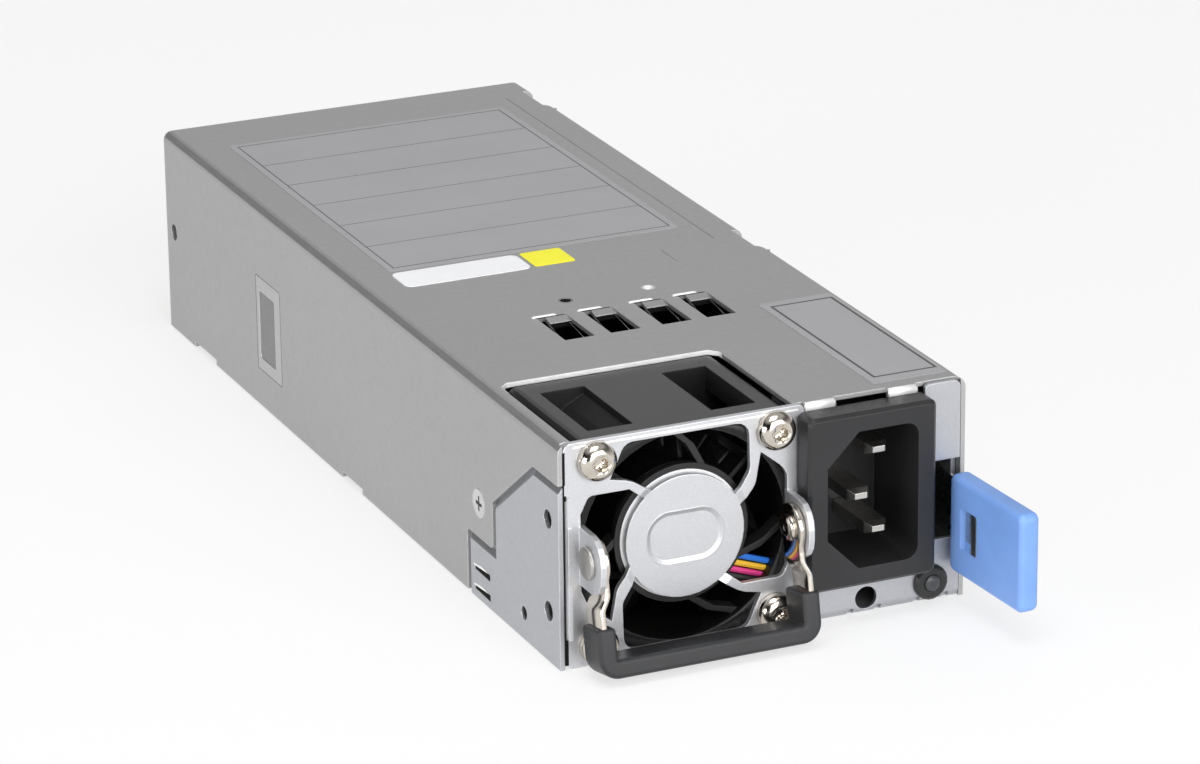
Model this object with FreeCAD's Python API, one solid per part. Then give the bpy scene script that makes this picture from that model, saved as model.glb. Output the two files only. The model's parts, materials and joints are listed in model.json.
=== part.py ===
"""Hot swap server power supply: sheet steel case, fan with guard and bail, mains inlet, latch and innards.

Millimetres. X is to the right seen from the front, Y runs from the front face to the card edge, Z is up.
While a piece is built Y starts at the front face; save() moves the origin to the middle of the underside.
"""
import FreeCAD, Part
import math
import os

V = FreeCAD.Vector
AXES = {"x": V(1, 0, 0), "y": V(0, 1, 0), "z": V(0, 0, 1)}

# ---------------------------------------------------------------- driving dimensions
# case
WIDTH = 73.5
HEIGHT = 39.0
LENGTH = 185.0
SHEET = 0.8                  # steel of tray and lid
BEND = 1.6                   # outside radius of a fold
SKIN_GAP = 0.1               # between the tray's wall and the lid's flap
FLAP_LIFT = 0.2              # lid's flaps end this far above the floor
PLAY = 0.3                   # clearance between loose pieces
FIT = 0.05                   # clearance round a shank or a spigot
SIDES = 20                   # sides of a small round form
FLAT_TURN = 23.0             # a round corner turns at most this much, in degrees, from flat to flat

# fan and guard
FAN_ROOM = 0.5               # above and below the fan, which fills the height of the case
FAN_LEFT_ROOM = 1.75         # between the fan and the guard's folded sides
FAN_RIGHT_ROOM = 1.2
FAN_DEPTH = 28.0
SCREW_INSET = 3.0            # fan screws from the edges of the fan
DUCT_WALL = 0.8
BLADE_GAP = 0.5
FLANGE = 4.3                 # thickness of the square flange at each end
GUARD = 1.0                  # guard's steel
GUARD_BEND = 1.5
DISH = 0.5                   # how far the guard's middle is pressed back
PANEL_DISH = 0.3             # oblong pressed into the middle
HUB_R = 12.0                 # motor base
BASE_RIM = 1.4               # how far the motor base shows round the guard's middle
ROTOR_STEP = 0.4             # how much smaller the rotor is than the base
BASE_T = 1.4
BLADES = 7
SHAFT_R = 1.0
LEAD_R = 0.55

# screw heads
HEAD_R = 3.3
HEAD_TOP_R = 2.1
HEAD_H = 2.3
SHANK_R = 1.3

# bail handle
EAR_R = 5.0                  # lobe of the guard that carries the bail
EAR_IN = 1.0                 # inner face of a lobe from the side of the fan
PIVOT_OUT = 3.5              # pivot in front of the guard
RIVET_R = 1.5
RIVET_HEAD_R = 2.3
RIVET_HEAD_T = 0.7
STRAP = 1.0
STRAP_WIDTH = 6.0
GRIP_LEG = 3.2
GRIP_DEPTH = 7.0
GRIP_TOP = 10.5              # grip's legs start this far below the pivot
GRIP_DROP = 19.0             # grip's end from the pivot

# mains inlet
INLET_LAP = 1.2              # how far the flange covers the guard's right edge
INLET_BELOW = 1.3            # flange's top from the top of the case
INLET_ABOVE = 7.1            # flange's underside from the underside of the case
INLET_FLANGE_W = 23.4
INLET_OUT = 4.4              # how far the flange stands out
INLET_WALL = 1.5
SOCKET_W = 16.6
SOCKET_H = 24.0
SOCKET_BEVEL = 5.7
SOCKET_DEPTH = 16.0
BLADE_W = 4.0
BLADE_T = 2.0
BLADE_PITCH = 14.0
EARTH_OFFSET = 4.0

# latch
LATCH_Z = 17.0
LEAF = 0.7
LEAF_H = 10.0
LEAF_ROOT = 45.0             # where the leaf starts to bend, from the front face
TOOTH_OUT = 2.0              # catch tooth beyond the side of the case
TOOTH_H = 8.0
TOOTH_FRONT = 10.3
TOOTH_REAR = 18.0
TAB_T = 3.7
TAB_LENGTH = 21.7
TAB_OUT = 2.3                # gap between the front face and the tab
TAB_LOW = 5.8
TAB_HIGH = 23.1
TAB_CANT = 3.0               # degrees the tab leans outwards

# board
BOARD_T = 1.6
BOARD_LIFT = 3.5             # stand-off height
BOARD_FRONT = 33.0
TONGUE_W = 64.0
TONGUE_OUT = 12.0
CONTACTS = 25
CONTACT_T = 0.05

# ---------------------------------------------------------------- values that follow
HALF = WIDTH / 2
TRAY_HALF = HALF - SHEET - SKIN_GAP
TRAY_IN = TRAY_HALF - SHEET
WALL_TOP = HEIGHT - 2 * BEND
FAN_SIZE = HEIGHT - 2 * FAN_ROOM
FAN_PITCH = FAN_SIZE - 2 * SCREW_INSET
GUARD_LEFT = -TRAY_HALF
FAN_X = GUARD_LEFT + GUARD + FAN_LEFT_ROOM + FAN_SIZE / 2
GUARD_RIGHT = FAN_X + FAN_SIZE / 2 + FAN_RIGHT_ROOM + GUARD
FAN_Z = HEIGHT / 2
FAN_FRONT = GUARD
FAN_REAR = FAN_FRONT + FAN_DEPTH
DUCT_R = FAN_SIZE / 2 - DUCT_WALL
BLADE_R = DUCT_R - BLADE_GAP
ROTOR_R = HUB_R - ROTOR_STEP
DISC_R = HUB_R - BASE_RIM
EAR_X = FAN_SIZE / 2 - EAR_IN
BASE_FRONT = GUARD + DISH + PANEL_DISH + 0.2
BASE_BACK = BASE_FRONT + BASE_T
PIVOT = V(FAN_X, -PIVOT_OUT, FAN_Z)
INLET_X = GUARD_RIGHT - INLET_LAP + INLET_FLANGE_W / 2
INLET_FLANGE_H = HEIGHT - INLET_BELOW - INLET_ABOVE
INLET_Z = INLET_ABOVE + INLET_FLANGE_H / 2
BOARD_Z = SHEET + BOARD_LIFT
BOARD_TOP = BOARD_Z + BOARD_T
HEADROOM = HEIGHT - SHEET - 2 * PLAY
LEAF_X = TRAY_IN - SKIN_GAP - LEAF / 2


# ---------------------------------------------------------------- shape helpers
def point(axis, a, b, c):
    """The point at c along an axis, and at a and b on the two others in X, Y, Z order."""
    return {"x": V(c, a, b), "y": V(a, c, b), "z": V(a, b, c)}[axis]


def box(x0, x1, y0, y1, z0, z1):
    return Part.makeBox(x1 - x0, y1 - y0, z1 - z0, V(x0, y0, z0))


def ring_of(axis, centre, at, radius, sides):
    """The corners of a regular polygon round an axis."""
    a, b = centre
    turns = [polar(radius, 360 * (k + 0.5) / sides) for k in range(sides)]
    return [point(axis, a + u, b + v, at) for u, v in turns]


def rod(axis, centre, start, end, radius, sides=0):
    """A round bar, or a many-sided one where it is small or hidden, which keeps the model light."""
    if sides:
        return bridge(ring_of(axis, centre, start, radius, sides), ring_of(axis, centre, end, radius, sides))
    return Part.makeCylinder(radius, end - start, point(axis, *centre, start), AXES[axis])


def taper(axis, centre, start, end, radius_start, radius_end, sides):
    """A many-sided cone between two stations."""
    return bridge(ring_of(axis, centre, start, radius_start, sides),
                  ring_of(axis, centre, end, radius_end, sides))


def tube(axis, centre, start, end, outer, inner, sides=0):
    return rod(axis, centre, start, end, outer, sides).cut(rod(axis, centre, start, end, inner, sides))


def polar(radius, degrees):
    return radius * math.cos(math.radians(degrees)), radius * math.sin(math.radians(degrees))


def rounded(corners):
    """The points of a closed outline of corners (a, b) or (a, b, radius), round ones as short flats."""
    points = []
    for i, (a, b, *radius) in enumerate(corners):
        here = V(a, b, 0)
        if not radius:
            points.append(here)
            continue
        back = V(*corners[i - 1][:2], 0) - here
        ahead = V(*corners[(i + 1) % len(corners)][:2], 0) - here
        half = back.getAngle(ahead) / 2
        reach = min(radius[0] / math.tan(half), 0.49 * back.Length, 0.49 * ahead.Length)
        back.normalize()
        ahead.normalize()
        centre = here + (back + ahead).normalize() * (reach / math.cos(half))
        spoke = here + back * reach - centre
        turn = math.copysign(180 - 2 * math.degrees(half), ahead.cross(back).z)
        flats = math.ceil(abs(turn) / FLAT_TURN)
        for k in range(flats + 1):
            across, up = polar(spoke.Length, math.degrees(math.atan2(spoke.y, spoke.x)) + turn * k / flats)
            points.append(centre + V(across, up, 0))
    return points


def slab(axis, corners, start, end):
    """An outline square to an axis, pulled along it."""
    face = polygon([point(axis, p.x, p.y, start) for p in rounded(corners)])
    return face.extrude(AXES[axis] * (end - start))


def oblong(a0, a1, b0, b1, radius):
    return [(a0, b0, radius), (a1, b0, radius), (a1, b1, radius), (a0, b1, radius)]


def inset(points, distance):
    """The corners of a polygon, listed anticlockwise, moved in by a distance."""
    moved = []
    for i, (a, b) in enumerate(points):
        here = V(a, b, 0)
        last = V(*points[i - 1], 0)
        following = V(*points[(i + 1) % len(points)], 0)
        before = (here - last).normalize()
        after = (following - here).normalize()
        inward = V(-before.y - after.y, before.x + after.x, 0) * (distance / (1 + before.dot(after)))
        moved.append((a + inward.x, b + inward.y))
    return moved


def polygon(corners):
    return Part.Face(Part.makePolygon(corners + corners[:1]))


def bridge(*sections):
    """A solid through polygons with as many corners: flat sides, or two triangles where a side twists."""
    faces = [polygon(sections[0]), polygon(sections[-1])]
    for near, far in zip(sections, sections[1:]):
        for i in range(len(near)):
            a, b, c, d = near[i - 1], near[i], far[i], far[i - 1]
            twist = (b - a).cross(d - a).dot(c - a)
            flat = abs(twist) < 1e-6
            faces += [polygon([a, b, c, d])] if flat else [polygon([a, b, c]), polygon([a, c, d])]
    solid = Part.Solid(Part.makeShell(faces))
    return solid if solid.Volume > 0 else Part.Solid(solid.Shells[0].reversed())


def pressed(points, run, start, end):
    """A pad on a side wall: a polygon at x start that narrows by run on its way to x end."""
    return bridge([V(start, y, z) for y, z in points], [V(end, y, z) for y, z in inset(points, run)])


def join(pieces):
    return pieces[0].multiFuse(pieces[1:]).removeSplitter() if len(pieces) > 1 else pieces[0]


def group(pieces):
    return Part.makeCompound(pieces)


def mirror(shape, x):
    return shape.mirror(V(x, 0, 0), AXES["x"])


def save(name, shape):
    shape = shape.copy()
    shape.translate(V(0, -LENGTH / 2, 0))
    shape.exportStep("parts/" + name + ".step")


# ---------------------------------------------------------------- case
WINDOW = (LENGTH - 60.1, LENGTH - 47.8, 7.3, 25.5)      # keying window in the left flap: y and z
WINDOW_POCKET = (LENGTH - 57.1, LENGTH - 49.4, 9.7, 22.8)
FLAP_NOTCHES = ((LENGTH - 98.8, LENGTH - 89.3), (LENGTH - 25.0, LENGTH - 13.6))     # in its lower edge
SEAM = 0.2                                  # open line between the lid's edge and the tray
JOGGLE = 1.2                                # width of the step that brings the tray's wall flush
FLAP_STEP_Z = HEIGHT - 7.0
FLAP_STEP_Y = 10.2
FLAP_TONGUE = (27.3, 38.3, 11.3, 19.6)      # front, root, underside and top of the lid's tongue
LID_SCREW = (33.1, 17.4)
LID_SCREW_R = 2.6
LID_SHANK_R = 1.25
RIGHT_SCREW = (64.0, 17.4)
REAR_HOLE = (3.9, 20.1)                     # from the rear, and height
DENT = 2.1                                  # pushed-in stretches of the lid's right shoulder
DENTS = ((73.5, 11.5), (LENGTH - 18.0, 11.5))           # where each starts, and its length
DENT_LOW = HEIGHT - 2.9
FAN_WINDOW_LEFT = 1.05                      # clearance beside the fan in the tray and the lid
FAN_WINDOW_RIGHT = 0.5
FAN_WINDOW_BEVEL = 1.5
SLOT_X = (-12.7, -4.2, 5.4, 13.7)           # lanced slots in the lid
SLOT_W = 5.5
SLOT_Y = 45.0
SLOT_L = 12.2
SLOT_TONGUE = 2.2                           # its tongue at the rear, and how far that sags
SLOT_SAG = 0.5
PIN_HOLES = ((-7.2, 63.5), (8.4, 63.5))
LID_TABS = ((GUARD_RIGHT + SKIN_GAP, INLET_X - 4.7), (INLET_X + 4.9, INLET_X + 10.3))     # at its front
VENT = 6.4                                  # across the flats of a rear vent
VENT_PITCH = 7.6
VENT_ROWS = 3
VENT_COLUMNS = 8
LEFT_HOLES = ((4.3, 25.0, 1.6), (4.4, 8.9, 1.7), (14.6, 4.7, 1.2))      # y, z and radius
LANCES = (28.7, 35.2, 0.45, (5.5, 1.9))     # y from and to, half height, and their heights
FOOT_NOTCHES = (-1.7, 3.4, 10.7, 16.0)      # in the foot of the front wall, from the inlet's axis


def flap_edge():
    """The front edge of the lid's left flap, closed round the part of the tray that it leaves bare."""
    front, root, low, top = FLAP_TONGUE
    beyond = -3.0
    return [(beyond, beyond), (root, beyond), (root, low), (front, low), (front, top),
            (FLAP_STEP_Y, FLAP_STEP_Z), (beyond, FLAP_STEP_Z)]


def channel(half, web, rims, start, end):
    """A folded U: its web's outer face at z web and the rims of its walls at z rims."""
    into = math.copysign(SHEET, rims - web)
    inner = half - SHEET
    return slab("y", [(-half, web, BEND), (half, web, BEND), (half, rims), (inner, rims),
                      (inner, web + into, BEND - SHEET), (-inner, web + into, BEND - SHEET),
                      (-inner, rims), (-half, rims)], start, end)


def vents():
    """Hexagonal air holes of the rear wall, every other row shifted by half a pitch."""
    radius = VENT / math.sqrt(3)
    low = BOARD_TOP + 0.8 * VENT
    holes = []
    for row in range(VENT_ROWS):
        for column in range(VENT_COLUMNS):
            x = (column - (VENT_COLUMNS - 1) / 2 + (row % 2 - 0.5) / 2) * VENT_PITCH
            z = low + row * VENT_PITCH * math.sqrt(3) / 2
            corners = [polar(radius, 30 + 60 * k) for k in range(6)]
            holes.append(slab("y", [(x + a, z + b) for a, b in corners], LENGTH - 2 * SHEET, LENGTH + SHEET))
    return group(holes)


def fan_opening(low, high):
    """The notch that the fan fills in the lid or in the tray's floor."""
    left = FAN_X - FAN_SIZE / 2 - FAN_WINDOW_LEFT
    right = FAN_X + FAN_SIZE / 2 + FAN_WINDOW_RIGHT
    rear, bevel = FAN_REAR + 1, FAN_WINDOW_BEVEL
    return slab("z", [(left, -1), (right, -1), (right, rear - bevel), (right - bevel, rear),
                      (left + bevel, rear), (left, rear - bevel)], low, high)


def inlet_hole():
    clear = FIT + 0.1
    corners = socket_outline(INLET_WALL + clear)
    return slab("y", corners, -SHEET, 2 * SHEET)


def tray_front():
    """The front wall beside the guard, folded up from the floor."""
    left = GUARD_RIGHT + SKIN_GAP
    top = INLET_Z + INLET_FLANGE_H / 2 - 0.8
    shoulder = INLET_X + INLET_FLANGE_W / 2
    wall = slab("y", [(left, 0), (TRAY_HALF, 0), (TRAY_HALF, HEIGHT - PLAY, 1.2),
                      (shoulder, HEIGHT - PLAY, 1.2), (shoulder, top), (left, top)], 0, SHEET)
    round_off = box(left, TRAY_HALF, -1, BEND, -1, BEND).cut(rod("x", (BEND, BEND), left, TRAY_HALF, BEND))
    floor = box(left, TRAY_HALF, 0, BEND, 0, SHEET)
    wall = join([wall, floor]).cut(round_off)
    wall = wall.cut(inlet_hole())
    wall = wall.cut(rod("y", (INLET_X + 1.0, 2.9), -1, 2, 2.0, SIDES))
    wall = wall.cut(rod("y", LED, -1, 2, LED_STEM_R + FIT, SIDES))
    for offset in FOOT_NOTCHES:
        x = INLET_X + offset
        wall = wall.cut(slab("y", [(x - 0.8, -1), (x + 0.8, -1), (x + 0.5, 1.3), (x - 0.5, 1.3)], -1, BEND))
    return wall


def tray_rear():
    top = HEIGHT - SHEET - PLAY
    wall = slab("y", [(-TRAY_HALF, 0), (TRAY_HALF, 0), (TRAY_HALF, top, BEND), (-TRAY_HALF, top, BEND)],
                LENGTH - SHEET, LENGTH)
    edge = box(-TRAY_HALF, TRAY_HALF, LENGTH - BEND, LENGTH + 1, -1, BEND)
    edge = edge.cut(rod("x", (LENGTH - BEND, BEND), -TRAY_HALF, TRAY_HALF, BEND))
    slot = box(-TONGUE_W / 2 - 1, TONGUE_W / 2 + 1, LENGTH - 2, LENGTH + 1, BOARD_Z - 1, BOARD_TOP + 1)
    return wall.cut(edge), group([slot, vents(), edge])


def clinch_nut(y, z, side):
    """A nut pressed into the tray's wall for a lid screw."""
    inner = TRAY_IN * side
    start, end = sorted((inner, inner - 2.5 * side))
    return rod("x", (y, z), start, end, 2.8, 8)


def flat_head(y, z, side, grow):
    """A countersunk screw from its head, flush with the lid, to its tip; grown, it is its own hole."""
    outer = HALF * side
    neck = outer - (LID_SCREW_R - LID_SHANK_R) * side
    tip = outer - (4.5 + 10 * grow) * side
    head = taper("x", (y, z), outer, neck, LID_SCREW_R + grow, LID_SHANK_R + grow, SIDES)
    return head.fuse(rod("x", (y, z), neck, tip, LID_SHANK_R + grow, 8))


def chassis_tray():
    tray = channel(TRAY_HALF, 0, WALL_TOP, 0, LENGTH)
    # the front of the left wall steps out flush with the lid
    bare = inset(flap_edge(), SEAM)
    floor_up = box(-HALF, -TRAY_IN + BEND, 0, FLAP_TONGUE[1], 0, HEIGHT)
    room_up = box(-HALF, -TRAY_IN + BEND, -1, FLAP_TONGUE[1], SHEET, HEIGHT)
    bulge = pressed(bare, JOGGLE, -TRAY_HALF, -HALF).common(floor_up)
    hollow = pressed(bare, JOGGLE, -TRAY_IN, -HALF + SHEET).common(room_up)
    tray = tray.fuse(bulge).cut(hollow)
    tray = tray.cut(box(-TRAY_IN - FIT, -TRAY_IN + BEND, -1, FLAP_TONGUE[1] - JOGGLE, SHEET, BEND))
    # pad that fills the keying window of the lid
    y0, y1, z0, z1 = WINDOW
    pad_at = HALF - 0.25
    tray = tray.fuse(box(-pad_at, -TRAY_HALF, y0 + SEAM, y1 - SEAM, z0 + SEAM, z1 - SEAM))
    y0, y1, z0, z1 = WINDOW_POCKET
    tray = tray.cut(box(-HALF, -TRAY_HALF + 0.1, y0, y1, z0, z1))
    # front and rear walls
    tray = tray.cut(box(-TRAY_IN, TRAY_HALF + 1, -1, BEND, -1, BEND).cut(fan_opening(-2, BEND + 1)))
    rear, rear_cuts = tray_rear()
    tray = tray.fuse(tray_front()).fuse(rear).cut(rear_cuts)
    # clearances at the front: fan, guard and latch
    tray = tray.cut(fan_opening(-1, SHEET + 1))
    tray = tray.cut(box(-TRAY_HALF - FIT, GUARD_RIGHT + FIT, -1, GUARD + SKIN_GAP, -1, SHEET + 1))
    tray = tray.cut(box(-TRAY_HALF - SKIN_GAP, -TRAY_IN + 1, -1, GUARD + SKIN_GAP, FLAP_STEP_Z - 2, HEIGHT))
    tray = tray.cut(box(TRAY_IN - 4.05, HALF, -1, 2 * SHEET, LATCH_Z - 6, LATCH_Z + 8))
    tray = tray.cut(tooth_slot())
    # holes and lances of the left wall
    for y, z, radius in LEFT_HOLES:
        tray = tray.cut(rod("x", (y, z), -HALF - 1, -TRAY_IN, radius, 16))
    start, end, half, heights = LANCES
    for z in heights:
        tray = tray.cut(box(-HALF - 1, -TRAY_IN, start, end, z - half, z + half))
    tray = tray.cut(rod("x", (LENGTH - REAR_HOLE[0], REAR_HOLE[1]), -HALF - 1, -TRAY_IN + 1, 1.6, 12))
    for (y, z), side in ((LID_SCREW, -1), (RIGHT_SCREW, 1)):
        tray = tray.fuse(clinch_nut(y, z, side)).cut(flat_head(y, z, side, FIT))
    for x, y in STANDOFFS:
        tray = tray.cut(rod("z", (x, y), -1, SHEET + 1, STANDOFF_SHANK_R + FIT, 6))
    for y, z in LATCH_RIVETS:
        tray = tray.cut(rod("x", (y, z), TRAY_IN - 1, TRAY_HALF + 1, LATCH_RIVET_R + FIT, 8))
    return tray.removeSplitter()


def tooth_slot():
    return box(TRAY_IN - 1, HALF + 1, TOOTH_FRONT - 0.8, TOOTH_REAR + 0.6,
               LATCH_Z - TOOTH_H / 2 - PLAY, LATCH_Z + TOOTH_H / 2 + PLAY)


def lanced_slot(x):
    """The hole and the tongue of one lanced slot: the tongue hangs from the rear edge."""
    hole = box(x - SLOT_W / 2, x + SLOT_W / 2, SLOT_Y, SLOT_Y + SLOT_L, HEIGHT - 2, HEIGHT + 1)
    rear = SLOT_Y + SLOT_L
    end, low = rear - SLOT_TONGUE, HEIGHT - SLOT_SAG
    tongue = slab("x", [(rear, HEIGHT - SHEET), (rear, HEIGHT), (end, low), (end, low - SHEET)],
                  x - SLOT_W / 2 + 1.6, x + SLOT_W / 2)
    return hole, tongue


def shoulder_dent(start, length):
    """A stretch of the right shoulder pushed in by DENT: what goes and what comes in its place."""
    ramp = 2.0
    bottom, end = HALF - DENT, start + length
    gone = slab("z", [(HALF + 1, start), (HALF, start), (bottom, start + ramp), (bottom, end),
                      (HALF + 1, end)], DENT_LOW + SHEET, HEIGHT + 1)
    wall = slab("z", [(HALF - SHEET, start - SHEET), (HALF, start), (bottom, start + ramp), (bottom, end),
                      (HALF - SHEET, end), (HALF - SHEET, end + SHEET), (bottom - SHEET, end + SHEET),
                      (bottom - SHEET, start + ramp - SHEET / 2)], DENT_LOW, HEIGHT - SHEET / 2)
    ledge = slab("z", [(HALF - SHEET / 2, start), (HALF - SHEET / 2, end), (bottom, end),
                       (bottom, start + ramp)], DENT_LOW, DENT_LOW + SHEET)
    return gone, wall.fuse(ledge)


def top_cover():
    lid = channel(HALF, HEIGHT, FLAP_LIFT, 0, LENGTH)
    edge = [corner + (1.0,) for corner in flap_edge()]
    lid = lid.cut(slab("x", edge, -HALF - 1, -TRAY_HALF))
    lid = lid.cut(box(-HALF - 1, -TRAY_HALF, *WINDOW))
    for notch in FLAP_NOTCHES:
        lid = lid.cut(box(-HALF - 1, -TRAY_HALF, *notch, -1, FLAP_LIFT + 1.0))
    # front edge clears the guard and the front wall, and two tabs turn down over the inlet
    lid = lid.cut(box(-TRAY_HALF - FIT, TRAY_HALF + FIT, -1, GUARD + SKIN_GAP, HEIGHT - 4, HEIGHT + 1))
    low = INLET_Z + INLET_FLANGE_H / 2 - 0.6
    for left, right in LID_TABS:
        tab = slab("x", [(0, low), (SHEET, low), (SHEET, HEIGHT - SHEET), (2 * SHEET, HEIGHT - SHEET),
                         (2 * SHEET, HEIGHT), (0, HEIGHT, BEND - 0.3)], left, right)
        lid = lid.fuse(tab)
    lid = lid.cut(fan_opening(HEIGHT - 2, HEIGHT + 1))
    for x in SLOT_X:
        hole, tongue = lanced_slot(x)
        lid = lid.cut(hole).fuse(tongue)
    for centre in PIN_HOLES:
        lid = lid.cut(rod("z", centre, HEIGHT - 2, HEIGHT + 1, 1.0, 12))
    for start, length in DENTS:
        gone, back = shoulder_dent(start, length)
        lid = lid.cut(gone).fuse(back)
    lid = lid.cut(tooth_slot())
    lid = lid.cut(rod("x", (LENGTH - REAR_HOLE[0], REAR_HOLE[1]), -HALF - 1, -TRAY_HALF, 1.6, 12))
    for (y, z), side in ((LID_SCREW, -1), (RIGHT_SCREW, 1)):
        lid = lid.cut(flat_head(y, z, side, FIT))
    return lid.removeSplitter()


def cover_screw(y, z, side):
    recess = sorted(((HALF + 1) * side, (HALF - 0.8) * side))
    cross = box(*recess, y - 1.3, y + 1.3, z - 0.3, z + 0.3)
    upright = box(*recess, y - 0.3, y + 0.3, z - 1.3, z + 1.3)
    return flat_head(y, z, side, 0).cut(cross).cut(upright)


def cover_screws():
    return group([cover_screw(*LID_SCREW, -1), cover_screw(*RIGHT_SCREW, 1)])


# ---------------------------------------------------------------- fan guard and its screws
# the four openings of the guard seen from the fan axis: across and outwards, in shares of the fan's
# half side, and corner radius
WIDE_OPENING = [(-0.71, 0.64), (-0.637, 0.80), (-0.574, 0.953, 2.2), (0.595, 0.953, 2.4),
                (0.605, 0.505, 2.0), (0.474, 0.295), (0, 0.158), (-0.295, 0.453), (-0.516, 0.60, 4.0)]
TALL_OPENING = [(-0.658, 0.705), (-0.484, 0.921, 4.0), (-0.279, 1.01), (0.326, 1.01), (0.526, 0.91, 1.2),
                (0.526, 0.532), (0.40, 0.368), (0, 0.158), (-0.179, 0.505), (-0.368, 0.653, 3.0)]
FOLD_LOW = 5.0
FOLD_DEPTH = 10.0


def guard_opening(shares, turn):
    """One opening between two arms of the guard, cut round the middle."""
    half = FAN_SIZE / 2
    opening = slab("y", [(a * half, b * half, *radius) for a, b, *radius in shares], -1, 3)
    opening.rotate(V(0, 0, 0), AXES["y"], turn)
    opening.translate(V(FAN_X, 0, FAN_Z))
    return opening.cut(rod("y", (FAN_X, FAN_Z), -2, 4, DISC_R, 2 * SIDES))


def guard_fold(edge, side, top):
    """A side of the guard folded back: the bend and its flange."""
    inner = edge - GUARD * side
    plan = [(edge, 0, GUARD_BEND), (edge - 3 * side, 0), (edge - 3 * side, GUARD),
            (inner, GUARD, GUARD_BEND - GUARD), (inner, FOLD_DEPTH), (edge, FOLD_DEPTH)]
    return slab("z", plan, FOLD_LOW, top)


def guard_ear(side):
    """A lobe bent forward out of the opening, with its bend."""
    near = EAR_X * side
    far = near + GUARD * side
    root = far + 2 * side
    lobe = slab("x", [(0, -EAR_R), (-PIVOT_OUT - EAR_R, -EAR_R, EAR_R), (-PIVOT_OUT - EAR_R, EAR_R, EAR_R),
                      (0, EAR_R)], *sorted((near, far)))
    bend = slab("z", [(near, 0), (root, 0), (root, GUARD), (near, GUARD, GUARD_BEND - 0.3)], -EAR_R, EAR_R)
    ear = lobe.fuse(bend).cut(rod("x", (-PIVOT_OUT, 0), -HALF, HALF, RIVET_R + 2 * FIT, SIDES))
    ear.translate(V(FAN_X, 0, FAN_Z))
    return ear


def fan_guard():
    left, right = GUARD_LEFT, GUARD_RIGHT
    left_top, right_top = FLAP_STEP_Z - 2.2, HEIGHT - BEND - PLAY
    plate = slab("y", [(left + 0.55, 0, 0.8), (right, 0, 0.8), (right, FOLD_LOW),
                       (right - GUARD_BEND, FOLD_LOW), (right - GUARD_BEND, right_top),
                       (right, right_top), (right, HEIGHT, GUARD_BEND),
                       (left, HEIGHT, GUARD_BEND), (left, left_top), (left + GUARD_BEND, left_top),
                       (left + GUARD_BEND, FOLD_LOW), (left + 0.55, FOLD_LOW)], 0, GUARD)
    # dished middle with an oblong pressed a little deeper
    rim = DISC_R + 1.3
    flat = DISC_R + 0.1
    plate = plate.cut(taper("y", (FAN_X, FAN_Z), 0, DISH, rim, flat, 2 * SIDES))
    plate = plate.fuse(taper("y", (FAN_X, FAN_Z), GUARD, GUARD + DISH, rim, flat, 2 * SIDES))
    panel = oblong(FAN_X - 6.9, FAN_X + 6.9, FAN_Z - 4.6, FAN_Z + 4.6, 4.2)
    plate = plate.cut(slab("y", panel, DISH - 1, DISH + PANEL_DISH))
    plate = plate.fuse(slab("y", panel, GUARD + DISH - 0.1, GUARD + DISH + PANEL_DISH))
    for turn in (0, 180):
        plate = plate.cut(guard_opening(WIDE_OPENING, turn)).cut(guard_opening(TALL_OPENING, turn + 90))
    plate = join([plate, guard_fold(left, -1, left_top), guard_fold(right, 1, right_top),
                  guard_ear(-1), guard_ear(1)])
    for x, z in fan_corners():
        plate = plate.cut(rod("y", (x, z), -1, 2, SHANK_R + PLAY, 12))
    return plate.removeSplitter()


def fan_corners():
    reach = FAN_PITCH / 2
    return [(FAN_X + i * reach, FAN_Z + k * reach) for i in (-1, 1) for k in (-1, 1)]


def guard_screws():
    screws = []
    for x, z in fan_corners():
        rim = ring_of("y", (x, z), 0, HEAD_R, 16)
        shoulder = ring_of("y", (x, z), -0.9, HEAD_R, 16)
        top = ring_of("y", (x, z), -HEAD_H, HEAD_TOP_R, 16)
        shank = rod("y", (x, z), 0, GUARD + 5, SHANK_R, 6)
        socket = rod("y", (x, z), -HEAD_H - 1, -HEAD_H + 1.3, 1.4, 6)
        screws.append(bridge(rim, shoulder, top).fuse(shank).cut(socket))
    return group(screws)


# ---------------------------------------------------------------- fan
STRUTS = (71, 178, 278, 331)                # where the struts leave the motor base, in degrees
STRUT_SWEEP = 25
POCKET = (FAN_SIZE / 2 - 12.0, FAN_SIZE / 2 - 4.0)      # hollows of the frame between its flanges
TUBE_R = 3.4
BEARING_R = 2.6
SHAFT_SIDES = 12
MOTOR_BOARD_R = 10.0
MAGNET_T = 1.4
CUP_WALL = 1.1
CUP_FRONT = BASE_BACK + 1.0
CUP_REAR = FAN_REAR - 3.0
LEAD_Y = BASE_BACK - 0.1
LEAD_TURN_X = FAN_SIZE / 2 - 0.8
LEAD_PITCH = 1.28
LEAD_ROOM = 0.85                            # round a lead's axis in the frame
LEADS = ("blue", "yellow", "red", "black")
PLUG_FRONT = BOARD_FRONT + 1.0


def strut(angle):
    """A swept strut from the motor base to the duct."""
    width = 1.1
    steps = 2
    inner, outer = [], []
    for i in range(steps + 1):
        radius = HUB_R - 0.15 + (DUCT_R + 0.4 - HUB_R + 0.15) * i / steps
        turn = angle + STRUT_SWEEP * i / steps
        spread = math.degrees(width / 2 / radius) * 1.3
        inner.append(polar(radius, turn - spread))
        outer.append(polar(radius, turn + spread))
    return slab("y", inner + outer[::-1], BASE_FRONT + 0.2, BASE_FRONT + 3.0)


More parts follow.
